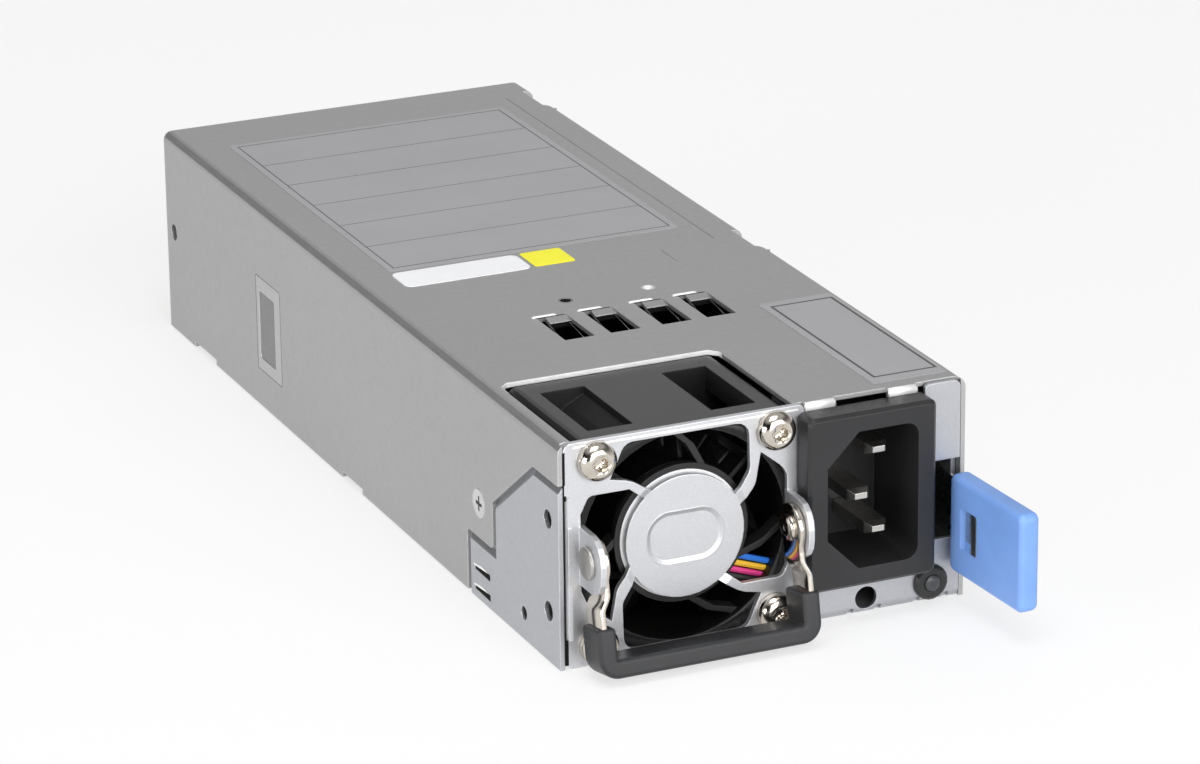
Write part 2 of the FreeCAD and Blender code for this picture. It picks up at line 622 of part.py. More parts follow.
def fan_frame():
    half = FAN_SIZE / 2
    frame = slab("y", oblong(-half, half, -half, half, 1.8), FAN_FRONT, FAN_REAR)
    frame = frame.cut(rod("y", (0, 0), FAN_FRONT - 1, FAN_REAR + 1, DUCT_R, 2 * SIDES))
    barrel = rod("y", (0, 0), FAN_FRONT, FAN_REAR, DUCT_R + DUCT_WALL, 2 * SIDES)
    near, far = POCKET
    hollow = [box(near, far, FAN_FRONT + FLANGE, FAN_REAR - FLANGE, 0, half + 1),
              box(-far, -near, FAN_FRONT + FLANGE, FAN_REAR - FLANGE, 0, half + 1)]
    for turn in range(0, 360, 90):
        for pocket in hollow:
            pocket = pocket.cut(barrel)
            pocket.rotate(V(0, 0, 0), AXES["y"], turn)
            frame = frame.cut(pocket)
    base = rod("y", (0, 0), BASE_FRONT, BASE_BACK, HUB_R, 2 * SIDES)
    sleeve = rod("y", (0, 0), BASE_BACK - 0.1, CUP_REAR - 6, TUBE_R, 12)
    frame = join([frame, base, sleeve] + [strut(angle) for angle in STRUTS])
    frame = frame.cut(rod("y", (0, 0), BASE_BACK, CUP_REAR, BEARING_R + FIT / 2, 12))
    # way out for the leads at the lower right: under the base, through the duct and down the side pocket
    (_, start), (_, high) = lead_run(0)
    (near, _), (_, low) = lead_run(len(LEADS) - 1)
    way = box(near - LEAD_ROOM, half + 1, LEAD_Y - LEAD_R - 0.2, FAN_FRONT + FLANGE + 0.5,
              low - LEAD_ROOM, start + LEAD_ROOM)
    frame = frame.cut(way.cut(rod("y", (0, 0), FAN_FRONT, FAN_REAR, MOTOR_BOARD_R, 24)))
    frame = frame.cut(box(LEAD_TURN_X - LEAD_ROOM, half + 1, FAN_REAR - FLANGE - 1, FAN_REAR + 1,
                          low - LEAD_ROOM, high + LEAD_ROOM))
    reach = FAN_PITCH / 2
    for i in (-1, 1):
        for k in (-1, 1):
            hole = rod("y", (i * reach, k * reach), FAN_FRONT - 1, FAN_FRONT + FLANGE + 3, SHANK_R + FIT, 6)
            frame = frame.cut(hole)
    frame.translate(V(FAN_X, 0, FAN_Z))
    return frame.removeSplitter()


def blade_section(x, lead, trail, bow):
    """A thin cambered section square to X: (y, z) of the leading and trailing edges, and its bow."""
    thickness = 0.8
    steps = 2
    front, back = [], []
    for i in range(steps + 1):
        s = i / steps
        y = lead[0] + (trail[0] - lead[0]) * s
        z = lead[1] + (trail[1] - lead[1]) * s + bow * 4 * s * (1 - s)
        front.append(V(x, y, z - thickness / 2))
        back.append(V(x, y, z + thickness / 2))
    return front + back[::-1]


def fan_impeller():
    floor = CUP_REAR - 1.6
    cup = rod("y", (0, 0), CUP_FRONT, CUP_REAR, ROTOR_R, 2 * SIDES)
    cup = cup.cut(rod("y", (0, 0), CUP_FRONT - 1, floor, ROTOR_R - CUP_WALL, 2 * SIDES))
    boss = rod("y", (0, 0), floor - 3, floor + 0.1, SHAFT_R + 1.4, 10)
    first, last = CUP_FRONT + 1.5, CUP_REAR - 1.0
    root_reach, tip_reach = 4.2, 5.6
    root = blade_section(ROTOR_R - CUP_WALL, (first, -root_reach), (last, root_reach), 1.0)
    tip_x = math.sqrt(BLADE_R ** 2 - (tip_reach + 0.4) ** 2)
    tip = blade_section(tip_x, (first + 1, -tip_reach), (last - 2, tip_reach), 1.4)
    blade = bridge(root, tip)
    pieces = [cup, boss]
    for i in range(BLADES):
        copy = blade.copy()
        copy.rotate(V(0, 0, 0), AXES["y"], 360 / BLADES * i)
        pieces.append(copy)
    impeller = join(pieces).cut(rod("y", (0, 0), floor - 4, CUP_REAR - 0.2, SHAFT_R + FIT / 2, SHAFT_SIDES))
    impeller.translate(V(FAN_X, 0, FAN_Z))
    return impeller


def fan_shaft():
    return rod("y", (FAN_X, FAN_Z), BASE_BACK + 0.3, CUP_REAR - 0.3, SHAFT_R, SHAFT_SIDES)


def fan_magnet_ring():
    outer = ROTOR_R - CUP_WALL - FIT / 2
    return tube("y", (FAN_X, FAN_Z), CUP_FRONT + 2, CUP_REAR - 4, outer, outer - MAGNET_T, 16)


def fan_bearings():
    """Two rings whose flats stay clear of the corners of the turning shaft."""
    bore = (SHAFT_R + FIT / 2) / math.cos(math.pi / SHAFT_SIDES)
    rings = [(BASE_BACK + 0.4, BASE_BACK + 2.9), (CUP_REAR - 8.6, CUP_REAR - 6.1)]
    return group([rod("y", (FAN_X, FAN_Z), a, b, BEARING_R, 12)
                  .cut(rod("y", (FAN_X, FAN_Z), a, b, bore, SHAFT_SIDES)) for a, b in rings])


def fan_stator():
    """Four-armed stator core with a coil on each arm."""
    front, back = CUP_FRONT + 3, CUP_REAR - 9
    outer = ROTOR_R - CUP_WALL - MAGNET_T - 0.8
    pieces = [tube("y", (0, 0), front, back, TUBE_R + 1.2, TUBE_R + FIT, 12)]
    for turn in (45, 135, 225, 315):
        shoe = box(outer - 1.8, outer - 0.8, front, back, -3.2, 3.2)
        coil = box(TUBE_R + 0.8, outer - 1.8, front - 1, back + 1, -2.4, 2.4)
        piece = coil.fuse(shoe)
        piece.rotate(V(0, 0, 0), AXES["y"], turn)
        pieces.append(piece)
    stator = join(pieces)
    stator.translate(V(FAN_X, 0, FAN_Z))
    return stator


def fan_motor_board():
    return tube("y", (FAN_X, FAN_Z), BASE_BACK, BASE_BACK + 0.8, MOTOR_BOARD_R, TUBE_R + FIT, 12)


def lead_run(number):
    """Start and turning point of a fan lead, seen from the fan axis: four that end one above another."""
    start = polar(MOTOR_BOARD_R + LEAD_R + 0.15, -32 - 7 * number)
    return start, (LEAD_TURN_X, BOARD_TOP + 0.8 + LEAD_PITCH * (len(LEADS) - 1 - number) - FAN_Z)


def bent_tube(points, radius, bend):
    """A six-sided lead along straight runs, each turn taken in two steps."""
    ahead = (points[1] - points[0]).normalize()
    side = ahead.cross(AXES["z"] if abs(ahead.z) < 0.9 else AXES["x"]).normalize()
    up = side.cross(ahead)
    start = points[0]
    section = polygon([start + side * u + up * v for u, v in (polar(radius, 60 * k) for k in range(6))])
    sections = [section.copy()]
    for last, here, following in zip(points, points[1:], points[2:]):
        back = (last - here).normalize()
        ahead = (following - here).normalize()
        half = back.getAngle(ahead) / 2
        reach = bend / math.tan(half)
        centre = here + (back + ahead).normalize() * (bend / math.sin(half))
        section.translate(here + back * reach - start)
        sections.append(section.copy())
        for _ in range(2):
            section.rotate(centre, ahead.cross(back), 90 - math.degrees(half))
            sections.append(section.copy())
        start = here + ahead * reach
    section.translate(points[-1] - start)
    sections.append(section)
    return bridge(*([vertex.Point for vertex in each.OuterWire.OrderedVertexes] for each in sections))


def fan_lead(number):
    (x0, z0), (x1, z1) = lead_run(number)
    points = [V(FAN_X + x0, LEAD_Y, FAN_Z + z0), V(FAN_X + x1, LEAD_Y, FAN_Z + z1),
              V(FAN_X + x1, PLUG_FRONT, FAN_Z + z1)]
    return bent_tube(points, LEAD_R, 2.2)


def plug_box(y0, y1, grow):
    zs = [FAN_Z + lead_run(number)[1][1] for number in (0, len(LEADS) - 1)]
    x = FAN_X + LEAD_TURN_X
    return box(x - 1.5 - grow, x + 1.5 + grow, y0, y1, BOARD_TOP, max(zs) + 1 + grow)


def fan_plug():
    x = FAN_X + LEAD_TURN_X
    body = plug_box(PLUG_FRONT, PLUG_FRONT + 6, 0)
    return body.fuse(box(x - 0.6, x + 0.6, PLUG_FRONT + 1, PLUG_FRONT + 5, body.BoundBox.ZMax,
                         body.BoundBox.ZMax + 0.6))


def fan_header():
    return plug_box(PLUG_FRONT + 6, PLUG_FRONT + 10, 0.5)


# ---------------------------------------------------------------- bail handle
def bail_tilt():
    """Lean of the hanging bail, in degrees, when its grip rests on the lower screw heads."""
    drop = FAN_PITCH / 2 - HEAD_TOP_R
    standoff = PIVOT_OUT - HEAD_H - PLAY
    reach = math.hypot(drop, standoff)
    return math.degrees(math.asin(GRIP_DEPTH / 2 / reach) - math.atan2(standoff, drop))


def hang(shape):
    """Move a bail piece from its own frame, pivot at the origin and hanging down, to its rest."""
    shape.rotate(V(0, 0, 0), AXES["x"], -bail_tilt())
    shape.translate(PIVOT)
    return shape


def strap_arm(side, grow):
    """One arm of the steel strap: eye, joggle and the straight run into the grip."""
    near = EAR_X - SKIN_GAP - STRAP
    shift = STRAP + SKIN_GAP
    top, bottom = -5.2, -8.0
    end = -GRIP_DROP + 1.0 - grow
    profile = [(near - grow, 0), (near + STRAP + grow, 0), (near + STRAP + grow, top),
               (near + STRAP + shift + grow, bottom), (near + STRAP + shift + grow, end),
               (near + shift - grow, end), (near + shift - grow, bottom - 0.2), (near - grow, top - 0.2)]
    half = STRAP_WIDTH / 2 + grow
    arm = slab("y", profile, -half, half)
    eye = rod("x", (0, 0), near - grow, near + STRAP + grow, EAR_R - 1 + grow, SIDES)
    arm = arm.fuse(eye)
    return arm if side > 0 else mirror(arm, 0)


def strap_shape(grow):
    reach = EAR_X + STRAP
    low = -GRIP_DROP + 1.0
    side = STRAP_WIDTH / 2 + grow
    cross = box(-reach, reach, -side, side, low - grow, low + STRAP + grow)
    return join([strap_arm(-1, grow), strap_arm(1, grow), cross])


def handle_strap():
    strap = strap_shape(0).cut(rod("x", (0, 0), -HALF, HALF, RIVET_R + FIT, SIDES))
    return hang(strap)


def handle_grip():
    outer = EAR_X + STRAP + 0.8
    inner = outer - GRIP_LEG
    low, top = -GRIP_DROP, -GRIP_TOP
    grip = slab("y", [(-outer, top), (-outer, low, 4.0), (outer, low, 4.0), (outer, top),
                      (inner, top), (inner, low + GRIP_LEG, 1.5), (-inner, low + GRIP_LEG, 1.5),
                      (-inner, top)], -GRIP_DEPTH / 2, GRIP_DEPTH / 2)
    rims = [edge for edge in grip.Edges if edge.BoundBox.YLength < 1e-3]
    grip = grip.makeChamfer(0.45, rims)
    return hang(grip.cut(strap_shape(FIT)))


def handle_rivets():
    strap_in = EAR_X - SKIN_GAP - STRAP
    ear_out = EAR_X + GUARD
    rivets = []
    for side in (-1, 1):
        shank = rod("x", (0, 0), *sorted((side * (strap_in - FIT), side * ear_out)), RIVET_R, SIDES)
        outer = side * ear_out
        head = taper("x", (0, 0), outer, outer + RIVET_HEAD_T * side, RIVET_HEAD_R, RIVET_HEAD_R - 0.4, SIDES)
        under = side * (strap_in - FIT)
        dome = taper("x", (0, 0), under, under - 0.9 * side, 2.3, 1.2, SIDES)
        rivet = join([shank, head, dome])
        rivet.translate(PIVOT)
        rivets.append(rivet)
    return group(rivets)


# ---------------------------------------------------------------- mains inlet
def socket_outline(grow):
    """The socket's outline seen from the front, its bevelled corners on the earth side."""
    left, right = INLET_X - SOCKET_W / 2 - grow, INLET_X + SOCKET_W / 2 + grow
    low, high = INLET_Z - SOCKET_H / 2 - grow, INLET_Z + SOCKET_H / 2 + grow
    bevel = SOCKET_BEVEL + 0.6 * grow
    radius = 2.2 + grow
    return [(left + bevel, low), (right, low, radius), (right, high, radius), (left + bevel, high),
            (left, high - bevel), (left, low + bevel)]


def blades():
    """Line, neutral and earth blades: x, z and how far the tip stays behind the flange's face."""
    x = INLET_X + 2.6
    return [(x, INLET_Z + BLADE_PITCH / 2, 3.2), (x, INLET_Z - BLADE_PITCH / 2, 3.2),
            (x - EARTH_OFFSET, INLET_Z, 1.6)]


def inlet_housing():
    left, right = INLET_X - INLET_FLANGE_W / 2, INLET_X + INLET_FLANGE_W / 2
    low, high = INLET_Z - INLET_FLANGE_H / 2, INLET_Z + INLET_FLANGE_H / 2
    flange = slab("y", oblong(left, right, low, high, 1.2), -INLET_OUT, 0)
    rim = [edge for edge in flange.Edges if edge.BoundBox.YMax < -INLET_OUT + 1e-3]
    flange = flange.makeChamfer(0.6, rim)
    back = SOCKET_DEPTH - INLET_OUT
    body = slab("y", socket_outline(INLET_WALL), 0, back + 4.5)
    housing = flange.fuse(body).cut(slab("y", socket_outline(0), -INLET_OUT - 1, back))
    for x, z, _ in blades():
        housing = housing.cut(box(x - BLADE_W / 2 - FIT, x + BLADE_W / 2 + FIT, back - 1, back + 6,
                                  z - BLADE_T / 2 - FIT, z + BLADE_T / 2 + FIT))
    # snap barbs behind the front wall
    for side in (-1, 1):
        z = INLET_Z + side * (SOCKET_H / 2 + INLET_WALL)
        root, tip = z - 0.2 * side, z + 0.7 * side
        barb = slab("x", [(SHEET + 0.1, root), (SHEET + 0.1, tip), (SHEET + 4, root)],
                    INLET_X + 1, INLET_X + 5)
        housing = housing.fuse(barb)
    return housing.removeSplitter()


def inlet_pins():
    pins = []
    for x, z, behind in blades():
        tip = -INLET_OUT + behind
        half_w, half_t = BLADE_W / 2, BLADE_T / 2
        blade = slab("z", [(x - half_w + 0.9, tip), (x + half_w - 0.9, tip), (x + half_w, tip + 1.4),
                           (x + half_w, SOCKET_DEPTH), (x - half_w, SOCKET_DEPTH), (x - half_w, tip + 1.4)],
                     z - half_t, z + half_t)
        bevel = slab("x", [(tip - 1, half_t + 1), (tip - 1, 0.5), (tip, 0.5), (tip + 1.4, half_t),
                           (tip + 1.4, half_t + 1)], x - half_w - 1, x + half_w + 1)
        upper = bevel.copy()
        upper.translate(V(0, 0, z))
        lower = bevel.mirror(V(0, 0, 0), AXES["z"])
        lower.translate(V(0, 0, z))
        tab = box(x - half_w, x + half_w, SOCKET_DEPTH - 0.1, SOCKET_DEPTH + 8, z - 0.4, z + 0.4)
        pins.append(blade.cut(upper).cut(lower).fuse(tab))
    return group(pins)


LEAD_LAND_Y = 38.0


def inlet_lead(index, drop_y):
    """An insulated lead from a blade's solder tab back and down to the board."""
    x, z, _ = blades()[index]
    end = SOCKET_DEPTH + 8
    points = [V(x, end, z), V(x, drop_y, z), V(x, drop_y, BOARD_TOP)]
    return bent_tube(points, 1.2, 4.0)


# ---------------------------------------------------------------- indicator
LED = (INLET_X + 12.9, INLET_ABOVE - 3.4)
LED_BEZEL_R = 3.1
LED_STEM_R = 2.1
LED_LENS_R = 1.45


def led_bezel():
    face = ring_of("y", LED, -1.0, LED_BEZEL_R - 0.5, SIDES)
    edge = ring_of("y", LED, -0.5, LED_BEZEL_R, SIDES)
    seat = ring_of("y", LED, 0, LED_BEZEL_R, SIDES)
    stem = rod("y", LED, 0, 5, LED_STEM_R, SIDES)
    return bridge(face, edge, seat).fuse(stem).cut(rod("y", LED, -2, 6, LED_LENS_R + FIT, SIDES))


def status_led():
    tip = ring_of("y", LED, -1.2, 0.9, SIDES)
    edge = ring_of("y", LED, -0.6, LED_LENS_R, SIDES)
    return bridge(tip, edge, ring_of("y", LED, 6, LED_LENS_R, SIDES))


# ---------------------------------------------------------------- latch
LATCH_RIVETS = ((LEAF_ROOT + 3.0, LATCH_Z), (LEAF_ROOT + 8.0, LATCH_Z))
LATCH_RIVET_R = 1.2
TAB_X_BACK = HALF + 0.25 - TAB_T / 2        # middle of the tab where it starts
TAB_WINDOW = (5.5, 9.2, 12.2, 18.1)         # barb window: behind the front face of the tab's root, and z


def cant(shape):
    """Lean a tab piece outwards about the leaf where it enters the tab."""
    shape.rotate(V(LEAF_X, -TAB_OUT, 0), AXES["z"], TAB_CANT)
    return shape


def leaf_in_tab(grow):
    """The part of the leaf that the tab grips, with its retaining barb."""
    low, high = LATCH_Z - LEAF_H / 2, LATCH_Z + LEAF_H / 2
    return cant(box(LEAF_X - LEAF / 2 - grow, LEAF_X + LEAF / 2 + grow, -TAB_OUT - 15 - grow, -TAB_OUT + grow,
                    low - grow, high + grow))


def latch_spring():
    low, high = LATCH_Z - LEAF_H / 2, LATCH_Z + LEAF_H / 2
    leaf = box(LEAF_X - LEAF / 2, LEAF_X + LEAF / 2, -TAB_OUT, LEAF_ROOT - FIT, low, high)
    outer = LEAF_X + LEAF / 2
    tip = HALF + TOOTH_OUT
    tooth = slab("z", [(outer - 0.3, TOOTH_FRONT), (tip, TOOTH_FRONT, 0.4), (tip, TOOTH_FRONT + 0.9),
                       (outer - 0.3, TOOTH_REAR)], LATCH_Z - TOOTH_H / 2, LATCH_Z + TOOTH_H / 2)
    hollow = slab("z", [(LEAF_X, TOOTH_FRONT + LEAF), (tip - 1.3, TOOTH_FRONT + LEAF),
                        (LEAF_X, TOOTH_REAR - 1.6)], LATCH_Z - TOOTH_H / 2 - 1, LATCH_Z + TOOTH_H / 2 + 1)
    y0, y1, z0, z1 = TAB_WINDOW
    side = LEAF_X - LEAF / 2
    barb = cant(slab("z", [(side + 0.1, -TAB_OUT - y1 + 0.3), (side - 0.9, -TAB_OUT - y0 - 0.8),
                           (side + 0.1, -TAB_OUT - y0 - 0.3)], z0 + 1.2, z1 - 1.2))
    return join([leaf, leaf_in_tab(0), tooth, barb]).cut(hollow)


def latch_foot():
    low, high = LATCH_Z - LEAF_H / 2, LATCH_Z + LEAF_H / 2
    foot = box(LEAF_X - LEAF / 2, LEAF_X + LEAF / 2, LEAF_ROOT + FIT, LEAF_ROOT + 11, low, high)
    for y, z in LATCH_RIVETS:
        foot = foot.cut(rod("x", (y, z), LEAF_X - 1, LEAF_X + 1, LATCH_RIVET_R + FIT, 8))
    return foot


def latch_rivets():
    inner = LEAF_X - LEAF / 2
    return group([rod("x", centre, inner, TRAY_HALF, LATCH_RIVET_R, 8)
                  .fuse(rod("x", centre, inner - 0.8, inner, 2.1, 12)) for centre in LATCH_RIVETS])


def latch_tab():
    half = TAB_T / 2
    front = -TAB_OUT - TAB_LENGTH
    tab = slab("x", [(-TAB_OUT, TAB_LOW), (front, TAB_LOW, 2.5), (front, TAB_HIGH, 2.5),
                     (-TAB_OUT, TAB_HIGH)], TAB_X_BACK - half, TAB_X_BACK + half)
    rims = [edge for edge in tab.Edges if edge.BoundBox.XLength < 1e-3]
    tab = tab.makeChamfer(0.6, rims)
    y0, y1, z0, z1 = TAB_WINDOW
    well = TAB_X_BACK - half - 1
    floor = LEAF_X - LEAF / 2
    slope = slab("z", [(well, -TAB_OUT - 2.6), (floor, -TAB_OUT - y0), (floor, -TAB_OUT - y1),
                       (well, -TAB_OUT - y1)], z0, z1)
    tab = cant(tab.cut(slope))
    return tab.cut(leaf_in_tab(FIT))


# ---------------------------------------------------------------- board and what stands on it
BOARD_HALF = TRAY_IN - 0.75
STANDOFF_IN = 5.0
STANDOFFS = [(i * (TRAY_IN - STANDOFF_IN), y) for i in (-1, 1) for y in (BOARD_FRONT + 7, LENGTH - 9)]
STANDOFF_R = 2.5
STANDOFF_SHANK_R = 1.9
BOARD_SCREW_R = 1.4
FILM = 0.3


def main_pcb():
    rear = LENGTH - SHEET - PLAY
    board = box(-BOARD_HALF, BOARD_HALF, BOARD_FRONT, rear, BOARD_Z, BOARD_TOP)
    tip = LENGTH + TONGUE_OUT
    tongue = slab("z", [(-TONGUE_W / 2, rear - 1), (TONGUE_W / 2, rear - 1), (TONGUE_W / 2, tip - 1),
                        (TONGUE_W / 2 - 1, tip), (-TONGUE_W / 2 + 1, tip), (-TONGUE_W / 2, tip - 1)],
                  BOARD_Z, BOARD_TOP)
    board = board.fuse(tongue)
    for x, y in STANDOFFS:
        board = board.cut(rod("z", (x, y), BOARD_Z - 1, BOARD_TOP + 1, BOARD_SCREW_R + 0.2, 6))
    return board.removeSplitter()


def gold_fingers():
    pitch = TONGUE_W / (CONTACTS + 0.2)
    fingers = []
    for i in range(CONTACTS):
        x = (i - (CONTACTS - 1) / 2) * pitch
        for z in (BOARD_TOP, BOARD_Z - CONTACT_T):
            fingers.append(box(x - pitch * 0.37, x + pitch * 0.37, LENGTH + TONGUE_OUT - 9,
                               LENGTH + TONGUE_OUT - 1, z, z + CONTACT_T))
    return group(fingers)


def insulating_sheet():
    half = TRAY_IN - BEND
    sheet = box(-half, half, BOARD_FRONT, LENGTH - BEND - PLAY, SHEET, SHEET + FILM)
    for x, y in STANDOFFS:
        sheet = sheet.cut(rod("z", (x, y), 0, 2, STANDOFF_R + 0.3, 6))
    return sheet


def pcb_standoffs():
    posts = []
    for x, y in STANDOFFS:
        post = rod("z", (x, y), SHEET, BOARD_Z, STANDOFF_R, 6)
        post = post.fuse(rod("z", (x, y), 0.1, SHEET, STANDOFF_SHANK_R, 6))
        posts.append(post.cut(rod("z", (x, y), SHEET, BOARD_Z + 1, BOARD_SCREW_R + FIT, 6)))
    return group(posts)


def pcb_screws():
    heads = [rod("z", centre, BOARD_TOP, BOARD_TOP + 1.7, 2.7, 8) for centre in STANDOFFS]
    shanks = [rod("z", centre, BOARD_Z - 2.6, BOARD_TOP, BOARD_SCREW_R, 6) for centre in STANDOFFS]
    return group([head.fuse(shank) for head, shank in zip(heads, shanks)])


TOROID_SIDES = 12
LANE_HALF = 14.2
LANE_X = TRAY_IN / 2
LANE_FRONT = BOARD_FRONT + 12
LANE_REAR = LENGTH - SHEET - 3
LEFT_LANE = (("x_capacitors", 19.0), ("relay", 16.0), ("boost_choke", 26.0), ("bulk_capacitor", 32.0),
             ("output_capacitors", 17.0))
RIGHT_LANE = (("filter_choke_1", 24.0), ("filter_choke_2", 24.0), ("power_stage", 20.0),
              ("main_transformer", 27.0), ("standby_transformer", 13.0))


def stations(lane):
    """Where each block of a lane starts and ends, front to rear with equal gaps."""
    gap = (LANE_REAR - LANE_FRONT - sum(length for _, length in lane)) / (len(lane) - 1)
    places = {}
    y = LANE_FRONT
    for name, length in lane:
        places[name] = (y, y + length)
        y += length + gap
    return places


LEFT = stations(LEFT_LANE)
RIGHT = stations(RIGHT_LANE)


def standing(x0, x1, y0, y1, height):
    return box(x0, x1, y0, y1, BOARD_TOP, BOARD_TOP + height)


def x_capacitors():
    y0, y1 = LEFT["x_capacitors"]
    thick = (y1 - y0 - 1) / 2
    return group([standing(-LANE_X - 13, -LANE_X + 13, y, y + thick, 17) for y in (y0, y1 - thick)])


def relay():
    y0, y1 = LEFT["relay"]
    return standing(-LANE_X - 10, -LANE_X + 10, y0, y1, 15.5)


def toroid(x, y, outer, inner, low, high):
    return tube("z", (x, y), low, high, outer, inner, TOROID_SIDES)


def winding(x, y, outer, inner, low, high, start, sweep):
    """One section of a toroid's winding: a thicker ring sector round the core."""
    grow = 1.2
    ring = tube("z", (x, y), low - grow, high + grow, outer + grow, inner - grow, TOROID_SIDES)
    ring = ring.cut(tube("z", (x, y), low - FIT, high + FIT, outer + FIT, inner - FIT, TOROID_SIDES))
    reach = 3 * outer
    arc = [polar(reach, start + sweep * k / 4) for k in range(5)]
    wedge = slab("z", [(x, y)] + [(x + a, y + b) for a, b in arc], low - 2 * grow, high + 2 * grow)
    return ring.common(wedge)


def choke_core(x, span, height):
    y0, y1 = span
    low = BOARD_TOP + 1.3
    return toroid(x, (y0 + y1) / 2, (y1 - y0) / 2 - 1.3, 5.0, low, low + height)


def choke_winding(x, span, height, sectors):
    y0, y1 = span
    low = BOARD_TOP + 1.3
    outer = (y1 - y0) / 2 - 1.3
    middle = (y0 + y1) / 2
    return [winding(x, middle, outer, 5.0, low, low + height, start, sweep) for start, sweep in sectors]


def filter_choke_cores():
    return group([choke_core(LANE_X, RIGHT[name], 9.0) for name in ("filter_choke_1", "filter_choke_2")])


def filter_choke_windings():
    sectors = ((20, 140), (200, 140))
    return group(choke_winding(LANE_X, RIGHT["filter_choke_1"], 9.0, sectors)
                 + choke_winding(LANE_X, RIGHT["filter_choke_2"], 9.0, sectors))


def boost_choke_core():
    return choke_core(-LANE_X, LEFT["boost_choke"], 13.0)


def boost_choke_winding():
    return choke_winding(-LANE_X, LEFT["boost_choke"], 13.0, ((-70, 320),))[0]


def bulk_capacitor():
    y0, y1 = LEFT["bulk_capacitor"]
    radius = min(LANE_HALF, (HEADROOM - BOARD_TOP) / 2 - PLAY)
    centre = (-LANE_X, BOARD_TOP + radius + 0.1)
    return rod("y", centre, y0, y1, radius, 24)


def output_capacitors():
    y0, y1 = LEFT["output_capacitors"]
    radius = (y1 - y0 - 1) / 4
    cans = []
    for column in range(2):
        for y in (y0 + radius, y1 - radius):
            x = -LANE_X + LANE_HALF - 3 - radius - column * (2 * radius + 0.5)
            cans.append(rod("z", (x, y), BOARD_TOP, BOARD_TOP + 14, radius, 16))
    return group(cans)


def output_heatsink():
    y0, y1 = LEFT["output_capacitors"]
    x = -LANE_X + LANE_HALF
    return standing(x - 2, x, y0, y1, 22)


def primary_heatsink():
    """Finned extrusion across the right lane, with the power devices on its front face."""
    y0, y1 = RIGHT["power_stage"]
    top = 24.0
    back = standing(LANE_X - LANE_HALF, LANE_X + LANE_HALF, y0 + 6, y0 + 9, top)
    fins = [standing(LANE_X - LANE_HALF + k * 5.28, LANE_X - LANE_HALF + k * 5.28 + 2, y0 + 8.9, y1, top)
            for k in range(6)]
    return join([back] + fins)


def power_transistors():
    y0 = RIGHT["power_stage"][0]
    return group([standing(LANE_X + dx, LANE_X + dx + 8, y0 + 1.5, y0 + 5.95, 20) for dx in (-13.5, -4.0)])


def bridge_rectifier():
    y0 = RIGHT["power_stage"][0]
    return standing(LANE_X + 5.5, LANE_X + 13.5, y0 + 2, y0 + 5.95, 18)


def transformer_core():
    y0, y1 = RIGHT["main_transformer"]
    low = BOARD_TOP + 0.2
    shell = box(LANE_X - LANE_HALF, LANE_X + LANE_HALF, y0, y1, low, low + 26)
    window = box(LANE_X - LANE_HALF + 4, LANE_X + LANE_HALF - 4, y0 - 1, y1 + 1, low + 4, low + 22)
    post = box(LANE_X - 4, LANE_X + 4, y0, y1, low + 3.9, low + 22.1)
    return shell.cut(window).fuse(post).removeSplitter()


def transformer_windings():
    y0, y1 = RIGHT["main_transformer"]
    low = BOARD_TOP + 0.2 + 4
    halves = []
    for side in (-1, 1):
        xs = sorted((LANE_X + side * 4.1, LANE_X + side * (LANE_HALF - 4.2)))
        halves.append(box(*xs, y0 + 1, y1 - 1, low + 0.1, low + 17.9))
    return group(halves)


def standby_transformer():
    y0, y1 = RIGHT["standby_transformer"]
    core = standing(LANE_X - 7, LANE_X + 7, y0 + 3, y1 - 3, 14)
    return core.fuse(standing(LANE_X - 5, LANE_X + 5, y0, y1, 10))


def control_board():
    """Upright card in the gap between the two lanes."""
    return standing(-0.8, 0.8, RIGHT["power_stage"][0], RIGHT["main_transformer"][1], 24)


FUSE_IN = 9.0                # from the left wall
FUSE_L = 20.0
FUSE_R = 3.0


def fuse_link():
    start = -TRAY_IN + FUSE_IN
    return rod("x", (BOARD_FRONT + 5, BOARD_TOP + FUSE_R + FIT), start, start + FUSE_L, FUSE_R, 16)


def y_capacitors():
    y = BOARD_FRONT + 9.5
    return group([rod("y", (INLET_X + dx, BOARD_TOP + 3.6), y, y + 2.2, 3.5, 16) for dx in (-6, 8)])


